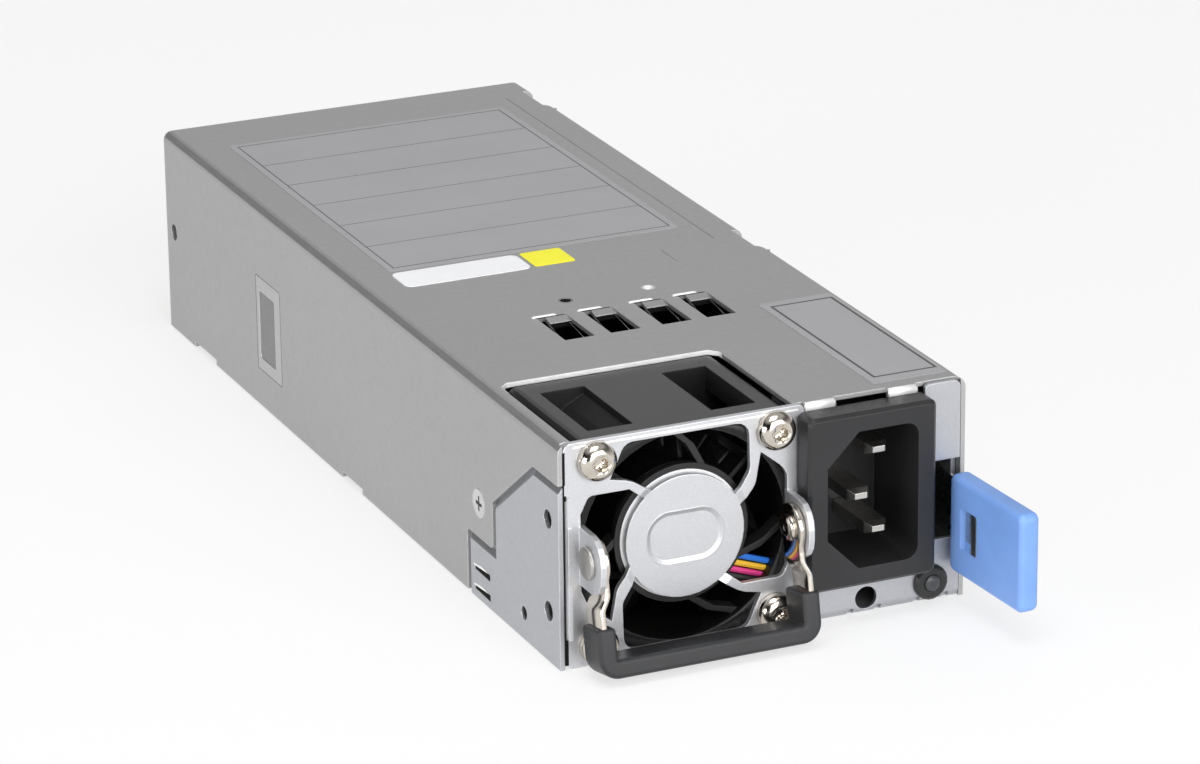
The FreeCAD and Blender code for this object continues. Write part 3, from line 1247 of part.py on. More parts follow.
# ---------------------------------------------------------------- all pieces
NODES = {
    "chassis_tray": chassis_tray, "top_cover": top_cover, "cover_screws": cover_screws,
    "fan_guard": fan_guard, "guard_screws": guard_screws,
    "fan_frame": fan_frame, "fan_impeller": fan_impeller, "fan_shaft": fan_shaft,
    "fan_magnet_ring": fan_magnet_ring, "fan_bearings": fan_bearings, "fan_stator": fan_stator,
    "fan_motor_board": fan_motor_board, "fan_plug": fan_plug, "fan_header": fan_header,
    "handle_strap": handle_strap, "handle_grip": handle_grip, "handle_rivets": handle_rivets,
    "inlet_housing": inlet_housing, "inlet_pins": inlet_pins,
    "led_bezel": led_bezel, "status_led": status_led,
    "latch_spring": latch_spring, "latch_foot": latch_foot, "latch_rivets": latch_rivets,
    "latch_tab": latch_tab,
    "main_pcb": main_pcb, "gold_fingers": gold_fingers, "insulating_sheet": insulating_sheet,
    "pcb_standoffs": pcb_standoffs, "pcb_screws": pcb_screws,
    "x_capacitors": x_capacitors, "y_capacitors": y_capacitors, "fuse_link": fuse_link, "relay": relay,
    "filter_choke_cores": filter_choke_cores, "filter_choke_windings": filter_choke_windings,
    "boost_choke_core": boost_choke_core, "boost_choke_winding": boost_choke_winding,
    "bulk_capacitor": bulk_capacitor, "bridge_rectifier": bridge_rectifier,
    "primary_heatsink": primary_heatsink, "power_transistors": power_transistors,
    "transformer_core": transformer_core, "transformer_windings": transformer_windings,
    "standby_transformer": standby_transformer, "control_board": control_board,
    "output_capacitors": output_capacitors, "output_heatsink": output_heatsink,
}


def main():
    os.makedirs("parts", exist_ok=True)
    for name, make in NODES.items():
        save(name, make())
    for number, colour in enumerate(LEADS):
        save("fan_lead_" + colour, fan_lead(number))
    for index, (name, drop) in enumerate((("live", 2.5), ("neutral", -1.5), ("earth", 0.5))):
        save("inlet_lead_" + name, inlet_lead(index, LEAD_LAND_Y + drop))


main()
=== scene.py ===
"""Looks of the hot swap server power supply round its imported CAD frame. Metres, in the frame of the part.

X is to the right seen from the front, Y runs from the front to the card edge, Z is up.
"""
import json
import math

import bmesh
import bpy
from mathutils import Matrix, Vector

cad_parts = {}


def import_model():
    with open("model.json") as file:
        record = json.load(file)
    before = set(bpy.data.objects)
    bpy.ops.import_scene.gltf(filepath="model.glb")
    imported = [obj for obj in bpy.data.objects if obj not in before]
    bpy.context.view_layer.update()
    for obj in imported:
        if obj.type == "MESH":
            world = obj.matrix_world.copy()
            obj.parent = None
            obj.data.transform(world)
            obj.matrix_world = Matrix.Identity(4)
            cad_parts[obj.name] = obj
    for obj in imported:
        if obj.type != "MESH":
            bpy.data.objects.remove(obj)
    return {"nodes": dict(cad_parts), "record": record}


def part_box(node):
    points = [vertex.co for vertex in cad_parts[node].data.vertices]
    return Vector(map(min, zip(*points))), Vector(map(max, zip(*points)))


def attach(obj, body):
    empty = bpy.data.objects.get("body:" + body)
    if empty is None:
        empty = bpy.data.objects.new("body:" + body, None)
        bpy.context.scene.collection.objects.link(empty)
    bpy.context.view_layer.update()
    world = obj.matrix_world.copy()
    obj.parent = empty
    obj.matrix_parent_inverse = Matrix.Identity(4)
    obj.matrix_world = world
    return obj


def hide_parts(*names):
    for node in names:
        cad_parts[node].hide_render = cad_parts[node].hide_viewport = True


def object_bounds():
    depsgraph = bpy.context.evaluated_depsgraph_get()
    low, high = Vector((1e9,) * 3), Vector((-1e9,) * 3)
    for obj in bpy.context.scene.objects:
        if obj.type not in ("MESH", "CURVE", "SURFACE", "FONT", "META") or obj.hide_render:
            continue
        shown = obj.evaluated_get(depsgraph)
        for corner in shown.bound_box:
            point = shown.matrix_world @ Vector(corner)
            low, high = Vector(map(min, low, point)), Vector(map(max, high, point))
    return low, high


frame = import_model()
cad_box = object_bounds()
MM = 0.001

# the studio
FLOOR_GLOW = 0.65            # share of plain white in the floor that the camera and metal see
AMBIENT = 0.45               # the studio's light on matt surfaces
OVERHEAD = 0.18              # how bright the studio is overhead, where metal mirrors it
CEILING = 0.7                # the soft light straight above, where metal mirrors it
DIM_SIDE = 0.02              # share of that left over the left side
LAMPS = {                    # place, power in watts and size
    "key": ((-1.4, -0.45, 0.1), 17, 0.8),
    "front": ((0.1, -1.4, 0.35), 26.5, 1.5),
    "top": ((-0.2, -0.4, 1.4), 8, 0.9),
    "rear": ((0.6, 1.3, 0.9), 1.2, 0.8),
}
LAMP_AIM = (0, -0.03, 0.02)
FLOOR_HALF = 6.0
LENS = 158.17
CAMERA_PLACE = (-0.34928, -0.81215, 0.33930)
CAMERA_RIGHT = (0.91197, -0.41010, -0.01094)
CAMERA_UP = (0.15134, 0.31152, 0.93811)


# ---------------------------------------------------------------- materials
def map_range(tree, value, start, end, first, last):
    """A value from start to end spread over first to last."""
    spread = tree.nodes.new("ShaderNodeMapRange")
    spread.inputs["From Min"].default_value = start
    spread.inputs["From Max"].default_value = end
    spread.inputs["To Min"].default_value = first
    spread.inputs["To Max"].default_value = last
    tree.links.new(value, spread.inputs["Value"])
    return spread.outputs["Result"]


def joined(tree, operation, one, other):
    """Two values through a math node."""
    math_node = tree.nodes.new("ShaderNodeMath")
    math_node.operation = operation
    tree.links.new(one, math_node.inputs[0])
    tree.links.new(other, math_node.inputs[1])
    return math_node.outputs[0]


class Look:
    """A Principled material with short calls for its procedural nodes."""

    def __init__(self, name, colour, roughness, metallic=0.0, **sockets):
        self.material = bpy.data.materials.new(name)
        self.material.use_nodes = True
        self.tree = self.material.node_tree
        self.shader = self.tree.nodes["Principled BSDF"]
        self.colour = (*colour, 1.0)
        self.set("Base Color", self.colour)
        self.set("Roughness", roughness)
        self.set("Metallic", metallic)
        for key, value in sockets.items():
            self.set(key.replace("_", " "), value)

    def set(self, socket, value):
        self.shader.inputs[socket].default_value = value

    def link(self, source, target):
        self.tree.links.new(source, target)

    def node(self, kind, **values):
        node = self.tree.nodes.new("ShaderNode" + kind)
        for key, value in values.items():
            if key in node.inputs:
                node.inputs[key].default_value = value
            else:
                setattr(node, key, value)
        return node

    def place(self, stretch=(1, 1, 1)):
        """Object coordinates, which are the row frame in metres, stretched along the axes."""
        mapping = self.node("Mapping")
        mapping.inputs["Scale"].default_value = stretch
        self.link(self.node("TexCoord").outputs["Object"], mapping.inputs["Vector"])
        return mapping.outputs["Vector"]

    def noise(self, size, detail=3.0, stretch=(1, 1, 1)):
        """Noise whose blots are about size metres across."""
        noise = self.node("TexNoise", Scale=1 / size, Detail=detail, Roughness=0.6)
        self.link(self.place(stretch), noise.inputs["Vector"])
        return noise.outputs["Fac"]

    def ramp(self, value, low, high, start, end):
        """A value between low and high spread over start to end."""
        return map_range(self.tree, value, low, high, start, end)

    def tint(self, value, other, low=0.35, high=0.65):
        """Colour that drifts from its own to another one with a value."""
        mix = self.node("Mix", data_type="RGBA")
        base = self.shader.inputs["Base Color"]
        if base.is_linked:
            self.link(base.links[0].from_socket, mix.inputs["A"])
        else:
            mix.inputs["A"].default_value = self.colour
        mix.inputs["B"].default_value = (*other, 1.0)
        self.link(self.ramp(value, low, high, 0, 1), mix.inputs["Factor"])
        self.link(mix.outputs["Result"], base)
        return self

    def rough(self, value, low, high):
        self.link(self.ramp(value, 0.3, 0.7, low, high), self.shader.inputs["Roughness"])
        return self

    def painted_edge_highlight(self, other, edge):
        """Painted highlight: another colour on a narrow band along the edges."""
        bevel = self.node("Bevel", Radius=edge, samples=4)
        facing = self.node("VectorMath", operation="DOT_PRODUCT")
        self.link(bevel.outputs["Normal"], facing.inputs[0])
        self.link(self.node("NewGeometry").outputs["Normal"], facing.inputs[1])
        return self.tint(facing.outputs["Value"], other, 0.995, 0.90)

    def bump(self, value, depth, edge=0.0):
        """Relief of a given depth, over edges rounded in shading only."""
        bump = self.node("Bump", Strength=1.0, Distance=depth)
        self.link(value, bump.inputs["Height"])
        if edge:
            bevel = self.node("Bevel", Radius=edge, samples=4)
            self.link(bevel.outputs["Normal"], bump.inputs["Normal"])
        self.link(bump.outputs["Normal"], self.shader.inputs["Normal"])
        return self


def shade(scale, colour):
    return tuple(scale * c for c in colour)


def sheet_steel(name, colour, roughness, grain=0.6 * MM):
    """Zinc plated sheet: cloudy, finely grained, with a painted highlight along its edges."""
    look = Look(name, colour, roughness, metallic=0.85)
    look.tint(look.noise(40 * MM, 3), shade(0.965, colour))
    look.tint(look.noise(grain, 2), shade(0.93, colour), 0.4, 0.7)
    look.tint(look.noise(0.3 * MM, 1), shade(1.05, colour), 0.56, 0.72)
    # painted highlight: paler steel along every edge
    look.painted_edge_highlight(shade(1.45, colour), 0.3 * MM)
    look.rough(look.noise(1.5 * MM, 3), roughness - 0.03, roughness + 0.05)
    return look.bump(look.noise(grain, 3), 0.004 * MM, edge=0.25 * MM)


def plated(name, colour, roughness, metallic=1.0):
    """Bright plated steel of screws, straps and rivets, faintly pitted."""
    look = Look(name, colour, roughness, metallic=metallic)
    look.tint(look.noise(2.5 * MM, 3), shade(0.88, colour))
    look.rough(look.noise(0.8 * MM, 4), roughness - 0.03, roughness + 0.05)
    return look.bump(look.noise(0.5 * MM, 3), 0.002 * MM, edge=0.15 * MM)


def moulded(name, colour, roughness, texture=0.25 * MM, depth=0.012 * MM, specular=0.5):
    """Moulded plastic with a fine spark-eroded texture."""
    look = Look(name, colour, roughness)
    look.set("Specular IOR Level", specular)
    look.tint(look.noise(9 * MM, 3), shade(1.12, colour))
    # painted highlight: slightly paler plastic along every edge
    look.painted_edge_highlight(tuple(c + 0.012 for c in colour), 0.2 * MM)
    look.rough(look.noise(texture, 2), roughness - 0.06, roughness + 0.08)
    return look.bump(look.noise(texture, 2), depth, edge=0.25 * MM)


def printed(name, colour, roughness):
    """Film or paper of a sticker."""
    look = Look(name, colour, roughness)
    look.tint(look.noise(11 * MM, 3), shade(0.96, colour))
    return look.bump(look.noise(0.4 * MM, 3), 0.004 * MM)


def wound(name, colour, pitch):
    """Enamelled wire: fine ridges side by side."""
    look = Look(name, colour, 0.35, Coat_Weight=0.4)
    wave = look.node("TexWave", Scale=1 / (math.pi * pitch), Distortion=0.4)
    look.link(look.place(), wave.inputs["Vector"])
    look.tint(wave.outputs["Fac"], shade(0.5, colour), 0.2, 0.8)
    return look.bump(wave.outputs["Fac"], 0.15 * MM)


LOOKS = {
    "galvanised_steel": sheet_steel("galvanised_steel", (0.43, 0.43, 0.43), 0.46, 0.35 * MM),
    "tray_steel": sheet_steel("tray_steel", (0.465, 0.472, 0.495), 0.42, 0.45 * MM),
    "guard_steel": sheet_steel("guard_steel", (0.595, 0.60, 0.62), 0.42, 0.35 * MM),
    "pale_steel": sheet_steel("pale_steel", (0.52, 0.52, 0.52), 0.5, 0.35 * MM),
    "dark_steel": sheet_steel("dark_steel", (0.29, 0.29, 0.29), 0.55, 0.35 * MM),
    # painted highlight: near-white steel for the bright edges, lips, bends and one hole collar
    "painted_highlight_steel": plated("painted_highlight_steel", (0.95, 0.95, 0.95), 0.4, metallic=0.35),
    # the seam round the keying pad together with the painted shade along its edge
    "seam_and_shade_grey": moulded("seam_and_shade_grey", (0.22, 0.22, 0.22), 0.7, specular=0.1),
    # painted shade: near-black for hole bottoms, lance and slot mouths, gaps and the shadows under lips
    "painted_shade_black": moulded("painted_shade_black", (0.006, 0.006, 0.006), 0.7, specular=0.1),
    "nickel_steel": plated("nickel_steel", (0.66, 0.61, 0.54), 0.13),
    "screw_steel": plated("screw_steel", (0.66, 0.66, 0.66), 0.22),
    "fan_plastic": moulded("fan_plastic", (0.013, 0.0127, 0.0125), 0.33, specular=0.4),
    # painted shade: a darker copy of fan_plastic for the impeller and the inside of the fan
    "fan_plastic_in_shade": moulded("fan_plastic_in_shade", (0.0045, 0.0043, 0.0042), 0.30, specular=0.3),
    "steel": plated("steel", (0.6, 0.6, 0.6), 0.25),
    "motor_core": plated("motor_core", (0.25, 0.25, 0.27), 0.45),
    "magnet": moulded("magnet", (0.05, 0.05, 0.055), 0.5),
    "green_board": moulded("green_board", (0.02, 0.12, 0.05), 0.3),
    "white_nylon": moulded("white_nylon", (0.78, 0.76, 0.7), 0.45),
    "grip_plastic": moulded("grip_plastic", (0.019, 0.0195, 0.021), 0.42, specular=0.4),
    "inlet_plastic": moulded("inlet_plastic", (0.0155, 0.0155, 0.0165), 0.36,
                             texture=0.5 * MM, depth=0.015 * MM, specular=0.4),
    "brass_pins": plated("brass_pins", (0.62, 0.60, 0.56), 0.3),
    "gold": plated("gold", (0.83, 0.62, 0.26), 0.25),
    "bezel_plastic": moulded("bezel_plastic", (0.014, 0.014, 0.014), 0.35),
    "lens": moulded("lens", (0.045, 0.047, 0.05), 0.2),
    "dull_steel": plated("dull_steel", (0.46, 0.45, 0.43), 0.42),
    # painted shade: a darker copy of spring_steel for the barb seen in the tab's window
    "barb_steel_in_shade": plated("barb_steel_in_shade", (0.30, 0.30, 0.30), 0.3),
    "spring_steel": plated("spring_steel", (0.58, 0.58, 0.58), 0.28),
    "tab_blue": moulded("tab_blue", (0.152, 0.29, 0.63), 0.42, depth=0.003 * MM),
    "film": moulded("film", (0.03, 0.03, 0.03), 0.35),
    "cap_yellow": moulded("cap_yellow", (0.05, 0.05, 0.05), 0.4),
    "cap_blue": moulded("cap_blue", (0.04, 0.12, 0.42), 0.3),
    "fuse_ceramic": moulded("fuse_ceramic", (0.75, 0.73, 0.68), 0.5),
    "relay_plastic": moulded("relay_plastic", (0.04, 0.04, 0.04), 0.4),
    "ferrite": moulded("ferrite", (0.05, 0.05, 0.052), 0.6),
    "copper_wire": wound("copper_wire", (0.42, 0.14, 0.04), 0.9 * MM),
    "can_sleeve": moulded("can_sleeve", (0.03, 0.035, 0.08), 0.3),
    "epoxy": moulded("epoxy", (0.03, 0.03, 0.03), 0.55),
    "heatsink": plated("heatsink", (0.6, 0.61, 0.62), 0.4),
    "tape": moulded("tape", (0.6, 0.45, 0.08), 0.25),
    "lead_blue": moulded("lead_blue", (0.02, 0.16, 0.62), 0.35),
    "lead_yellow": moulded("lead_yellow", (0.72, 0.42, 0.03), 0.35),
    "lead_red": moulded("lead_red", (0.58, 0.04, 0.2), 0.35),
    "lead_black": moulded("lead_black", (0.02, 0.02, 0.02), 0.35),
    "lead_white": moulded("lead_white", (0.75, 0.75, 0.75), 0.4),
    "lead_green": moulded("lead_green", (0.03, 0.3, 0.06), 0.4),
    "label_film": printed("label_film", (0.345, 0.342, 0.355), 0.5),
    "label_line": printed("label_line", (0.06, 0.052, 0.05), 0.5),
    "sticker_white": printed("sticker_white", (0.90, 0.905, 0.92), 0.45),
    "sticker_yellow": printed("sticker_yellow", (0.95, 0.90, 0.01), 0.5),
    "fan_label": printed("fan_label", (0.78, 0.79, 0.80), 0.4),
}
# the impeller takes the darker copy of the fan plastic, painted shade
OWN_LOOKS = {"fan_impeller": "fan_plastic_in_shade", "chassis_tray": "tray_steel"}


def dress_frame():
    """Give each CAD node the look of its material slot."""
    slots = {part["node"]: part["material_slot"] for part in frame["record"]["subparts"]}
    for name, node in frame["nodes"].items():
        node.data.materials.clear()
        node.data.materials.append(LOOKS[OWN_LOOKS.get(name, slots[name])].material)


# ---------------------------------------------------------------- mesh helpers
def add_piece(name, mesh, look, body, smooth=True, replaced=()):
    """A visible piece on a body, in place of the CAD nodes that it replaces."""
    piece = bpy.data.objects.new(name, mesh)
    bpy.context.scene.collection.objects.link(piece)
    mesh.materials.append(LOOKS[look].material)
    for face in mesh.polygons:
        face.use_smooth = smooth
    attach(piece, body)
    if replaced:
        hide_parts(*replaced)
    return piece


def mesh_of(name, vertices, faces):
    """A mesh whose faces all look outwards."""
    mesh = bpy.data.meshes.new(name)
    mesh.from_pydata([tuple(v) for v in vertices], [], faces)
    mesh.validate()
    bm = bmesh.new()
    bm.from_mesh(mesh)
    bmesh.ops.recalc_face_normals(bm, faces=bm.faces)
    bm.to_mesh(mesh)
    bm.free()
    return mesh


def stack(name, rings, wrapped=False):
    """A skin through rings of points, each with as many points as the next.

    Its ends are closed, or it is wrapped, so that the last ring meets the first as in a tyre.
    """
    count = len(rings[0])
    vertices = [point for ring in rings for point in ring]
    faces = []
    for level in range(len(rings) if wrapped else len(rings) - 1):
        here, there = level * count, (level + 1) % len(rings) * count
        for i in range(count):
            j = (i + 1) % count
            faces.append((here + i, here + j, there + j, there + i))
    if not wrapped:
        faces.append(tuple(range(count)))
        faces.append(tuple((len(rings) - 1) * count + i for i in range(count)))
    return mesh_of(name, vertices, faces)


def even_normals(piece):
    """Keep flat faces flat in shading and the narrow rounded ones smooth."""
    weighted = piece.modifiers.new("even_normals", "WEIGHTED_NORMAL")
    weighted.keep_sharp = True
    return piece


def rounded_rectangle(x0, x1, y0, y1, radius, steps=6):
    """Corners of a rectangle with round corners, from the one at x1, y1."""
    points = []
    for cx, cy, start in ((x1 - radius, y1 - radius, 0), (x0 + radius, y1 - radius, 90),
                          (x0 + radius, y0 + radius, 180), (x1 - radius, y0 + radius, 270)):
        for k in range(steps + 1):
            turn = math.radians(start + 90 * k / steps)
            points.append((cx + radius * math.cos(turn), cy + radius * math.sin(turn)))
    return points


# ---------------------------------------------------------------- stickers on the lid
lid_low, lid_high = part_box("top_cover")
FRONT = lid_low.y
TOP = lid_high.z
STICKER = 0.08 * MM
# from here on in millimetres: heights over the underside, and distances from the middle
LID = TOP / MM
FLAP = -lid_low.x / MM
TRAY_WALL = 35.92            # where the threaded holes end
# x0, x1 from the middle, and y0, y1 from the front face
RATING_LABEL = (-28.9, 27.1, 90.5, 171.0)
RATING_BORDER = (-27.6, 25.8, 92.0, 169.6)
RATING_ROWS = 6
SERIAL_STICKER = (-29.2, -5.5, 81.5, 89.5)
YELLOW_STICKER = (-4.7, 3.0, 82.0, 89.6)
SEAL_STICKER = (21.4, 35.2, 3.5, 47.0)
SEAL_BORDER = (22.8, 34.6, 6.0, 45.0)


def sticker(name, look, x0, x1, y0, y1, radius, base=TOP, thick=STICKER):
    """A film on the lid, from millimetres: x from the middle, y from the front face."""
    plan = rounded_rectangle(x0 * MM, x1 * MM, FRONT + y0 * MM, FRONT + y1 * MM, radius * MM)
    rings = [[Vector((x, y, z)) for x, y in plan] for z in (base - 0.01 * MM, base + thick)]
    return add_piece(name, stack(name, rings), look, "case", smooth=False)


def ruled_line(name, x0, x1, y0, y1):
    return sticker(name, "label_line", x0, x1, y0, y1, 0.02, base=TOP + STICKER, thick=0.01 * MM)


def frame_line(name, x0, x1, y0, y1, width):
    """A thin printed rectangle."""
    sides = ((x0, x1, y0, y0 + width), (x0, x1, y1 - width, y1),
             (x0, x0 + width, y0 + width, y1 - width), (x1 - width, x1, y0 + width, y1 - width))
    for k, side in enumerate(sides):
        ruled_line(f"{name}_{k}", *side)


def stickers():
    """The label with its rules, two small stickers and the seal, all without print."""
    sticker("rating_label", "label_film", *RATING_LABEL, radius=1.0)
    frame_line("rating_border", *RATING_BORDER, width=0.22)
    x0, x1, y0, y1 = RATING_BORDER
    for k in range(1, RATING_ROWS):
        y = y0 + (y1 - y0) * k / RATING_ROWS
        ruled_line(f"rating_rule_{k}", x0 + 0.2, x1 - 0.2, y - 0.08, y + 0.08)
    sticker("serial_sticker", "sticker_white", *SERIAL_STICKER, radius=1.5)
    sticker("yellow_sticker", "sticker_yellow", *YELLOW_STICKER, radius=0.6)
    sticker("seal_sticker", "label_film", *SEAL_STICKER, radius=0.5)
    frame_line("seal_border", *SEAL_BORDER, width=0.45)


# ---------------------------------------------------------------- small forms of the case
def on_top(x, y, z):
    """A point from millimetres: from the middle, behind the front face, and height."""
    return Vector((x * MM, FRONT + y * MM, z * MM))


def on_left(y, z, out):
    """A point of the left wall: behind the front face, height, and outwards from the middle."""
    return Vector((-out * MM, FRONT + y * MM, z * MM))


def facing_front(x, z, y):
    """The same point, with its depth last as plate and border want it."""
    return on_top(x, y, z)


def plate(name, look, place, outline, base, face, soft=0.0):
    """A thin plate on a wall, its rim softened. Soft is negative where the face looks to the front."""
    middle = Vector((sum(u for u, v in outline), sum(v for u, v in outline))) / len(outline)
    spokes = [Vector(corner) - middle for corner in outline]
    small = [tuple(middle + spoke * (1 - abs(soft) / spoke.length)) for spoke in spokes]
    rings = [[place(u, v, base) for u, v in outline], [place(u, v, face - soft) for u, v in outline],
             [place(u, v, face) for u, v in small]]
    return even_normals(add_piece(name, stack(name, rings), look, "case"))


def border(name, look, place, outer, inner, base, face):
    """A flat frame between two outlines with as many points."""
    rings = [[place(u, v, level) for u, v in loop]
             for loop, level in ((outer, base), (outer, face), (inner, face), (inner, base))]
    return add_piece(name, stack(name, rings, wrapped=True), look, "case", smooth=False)


def round_outline(u, v, radius, count=28):
    """Points round a hole."""
    return [(u + radius * math.cos(2 * math.pi * k / count), v + radius * math.sin(2 * math.pi * k / count))
            for k in range(count)]


KEYING_WINDOW = (124.9, 137.2, 7.3, 25.5)   # y0, y1, z0, z1
KEYING_PANEL = (127.9, 135.6, 9.7, 22.8)


def keying_window():
    """The pad in the flap's window: a dark line round a pale rim, for the seam with painted shade along its
    edge, and a darker panel in its middle.
    """
    y0, y1, z0, z1 = KEYING_WINDOW
    outer = rounded_rectangle(y0 - 0.12, y1 + 0.05, z0 - 0.06, z1 + 0.06, 0.5)
    edge = rounded_rectangle(y0 + 0.12, y1 - 0.2, z0 + 0.12, z1 - 0.12, 0.4)
    pocket = rounded_rectangle(*KEYING_PANEL, 0.5)
    border("window_seam_and_shade", "seam_and_shade_grey", on_left, outer, edge, FLAP - 0.25, FLAP + 0.02)
    border("window_rim", "pale_steel", on_left, edge, pocket, FLAP - 0.45, FLAP - 0.01)
    plate("window_panel", "dark_steel", on_left, pocket, FLAP - 0.75, FLAP - 0.09, 0.06)


def wall_holes():
    """Painted shade: black discs deep in the threaded holes at the front of the left wall."""
    holes = ((4.3, 25.0, 1.6, TRAY_WALL), (4.4, 8.9, 1.7, TRAY_WALL), (14.6, 4.7, 1.17, TRAY_WALL + 0.38))
    for number, (y, z, radius, out) in enumerate(holes, 1):
        rings = [[on_left(u, v, out) for u, v in round_outline(y, z, radius)],
                 [on_left(u, v, out - 0.02) for u, v in round_outline(y, z, 0.7 * radius)]]
        name = f"hole_shade_{number}"
        add_piece(name, stack(name, rings), "painted_shade_black", "case", smooth=False)


def wall_lances():
    """The two lances low on the left wall: a dark mouth of painted shade that widens forwards, under a lip
    with a painted highlight.
    """
    for number, z in enumerate((5.5, 1.9), 1):
        mouth = [(28.8, z - 0.55), (28.8, z + 0.6), (32.0, z + 0.5), (35.0, z + 0.16), (35.0, z - 0.4),
                 (32.0, z - 0.5)]
        # painted shade in the lance's mouth
        plate(f"lance_mouth_shade_{number}", "painted_shade_black", on_left, mouth, FLAP - 0.25, FLAP + 0.02, 0.03)
        lip = [(29.6, z + 0.62), (35.6, z + 0.14), (35.6, z + 0.42), (32.5, z + 0.85)]
        # painted highlight on the lance's lip
        plate(f"lance_lip_highlight_{number}", "painted_highlight_steel", on_left, lip, FLAP - 0.25, FLAP + 0.09, 0.08)


# the first hole is painted shade, the second a painted highlight
PIN_HOLES = (((-7.2, 63.5), "painted_shade_black"), ((8.4, 63.5), "painted_highlight_steel"))


def pin_holes():
    """Collars and bottoms of the two small holes behind the slots, one painted dark as shade and one painted
    bright as a highlight.
    """
    profile = ((1.25, -0.7), (1.25, 0.012), (0.97, -0.02), (0.9, -0.55))
    for number, (centre, look) in enumerate(PIN_HOLES, 1):
        rings = [[on_top(u, v, LID + rise) for u, v in round_outline(*centre, radius)]
                 for radius, rise in profile]
        name = f"pin_hole_{number}"
        add_piece(name, stack(name, rings), look, "case")


def ridge(name, look, x0, x1, y, width, height):
    """A low rounded ridge along X on the lid, tapered at its ends."""
    stations = ((x0, 0.2), (x0 + 0.25, 0.8), (x0 + 0.5, 1.0),
                (x1 - 0.5, 1.0), (x1 - 0.25, 0.8), (x1, 0.2))
    arc = [math.radians(a) for a in range(0, 181, 30)]
    rings = []
    for x, share in stations:
        crest = (height + 0.03) * share
        rings.append([on_top(x, y + width / 2 * math.cos(a), LID - 0.03 + crest * math.sin(a))
                      for a in arc])
    return add_piece(name, stack(name, rings), look, "case")


SLOT_CENTRES = (-12.7, -4.2, 5.4, 13.7)
SLOT_HALF = 2.75
SLOT_LIP = 57.6                             # middle of the raised lip, behind the front face


def thin_edge(x, y, z):
    """Corners of a hair-thin triangular bar at a station along a slot."""
    return [on_top(x, y, z), on_top(x + 0.07, y, z), on_top(x + 0.07, y, z - 0.06)]


def slot_edges():
    """Raised rear lips of the lanced slots with a painted highlight, a black plate of painted shade down in
    each slot, the painted shadow line before each lip, and painted highlights on the edges of the walls
    inside.
    """
    for number, x in enumerate(SLOT_CENTRES, 1):
        left, right = x - SLOT_HALF, x + SLOT_HALF
        # painted highlight along the raised lip
        ridge(f"slot_lip_{number}", "painted_highlight_steel", left - 0.7, right - 1.6, SLOT_LIP, 0.62, 0.26)
        high, low = LID - 0.56, LID - 1.5
        # painted shade: a black plate in front of the tongue's end, down in the slot
        mouth = [(left + 1.62, high), (right - 0.02, high), (right - 0.02, low), (left + 1.62, low)]
        plate(f"slot_shade_{number}", "painted_shade_black", facing_front, mouth,
              SLOT_LIP - 2.56, SLOT_LIP - 2.63, -0.01)
        near, far = SLOT_LIP - 0.55, SLOT_LIP - 0.36
        # painted shadow of the lip on the lid
        line = [(left - 0.1, near), (right - 0.3, near), (right - 0.3, far), (left - 0.1, far)]
        plate(f"slot_shadow_line_{number}", "painted_shade_black", on_top, line, LID - 0.1, LID + 0.01, 0.01)
        # painted highlights: hair-thin pale bars on the edges of the slot's walls
        for side, (at, foot) in enumerate(((left + 1.5, left + 0.5), (right - 0.35, right - 1.1))):
            rings = [thin_edge(at, SLOT_LIP - 1.0, LID - 0.5), thin_edge(foot, SLOT_LIP - 12.0, LID - 1.1)]
            name = f"slot_edge_highlight_{number}_{side}"
            add_piece(name, stack(name, rings), "pale_steel", "case")


OPENING_REAR = 30.0          # behind the front face
OPENING_CORNER = 1.5         # cut off at 45 degrees


def opening_edge():
    """A painted highlight: a bright strip along the sheared edge at the rear of the fan's opening."""
    frame_low, frame_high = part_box("fan_frame")
    left, right, rear = frame_low.x / MM - 1.05, frame_high.x / MM + 0.5, OPENING_REAR

    def path(inset, corner, short):
        return [(left + inset, rear - 4.5), (left + inset, rear - corner), (left + corner, rear - short),
                (right - corner, rear - short), (right - inset, rear - corner), (right - inset, rear - 2.6)]

    outer, inner = path(0.0, OPENING_CORNER, 0.0), path(0.05, OPENING_CORNER + 0.02, 0.06)
    rings = [[on_top(u, v + 0.3, LID + 0.012), on_top(a, b, LID + 0.03),
              on_top(a, b, LID - 0.75), on_top(u, v, LID - 0.75)]
             for (u, v), (a, b) in zip(outer, inner)]
    add_piece("opening_edge", stack("opening_edge", rings), "painted_highlight_steel", "case", smooth=False)


CREASES = ((30.0, 82.4, 176.0), (18.8, 73.0, 81.0))     # x, y0, y1


def creases():
    """Faint straight marks in the lid near its right side."""
    for number, (x, y0, y1) in enumerate(CREASES, 1):
        line = [(x - 0.12, y0), (x + 0.12, y0), (x + 0.12, y1), (x - 0.12, y1)]
        plate(f"crease_{number}", "dark_steel", on_top, line, LID - 0.05, LID + 0.006, 0.004)


# ---------------------------------------------------------------- fan
shaft_low, shaft_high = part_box("fan_shaft")
FAN = (shaft_low + shaft_high) / 2
SCREW_HEAD = 3.28                           # radius of the plain CAD head
LABEL_RADII = (7.0, 11.0)
DUCT_RADIUS = 18.13
OBLONG = (6.9, 4.6, 4.2)                    # half width, half height and corner of the guard's pressed middle


def circle(axis_x, axis_z, y, radius, count=64, lobes=0, depth=0.0):
    """Points round a Y axis, pulled in between lobes where lobes are asked for."""
    points = []
    for k in range(count):
        turn = 2 * math.pi * k / count
        r = radius - depth * (0.5 - 0.5 * math.cos(lobes * turn)) if lobes else radius
        points.append(Vector((axis_x + r * math.cos(turn), y, axis_z + r * math.sin(turn))))
    return points


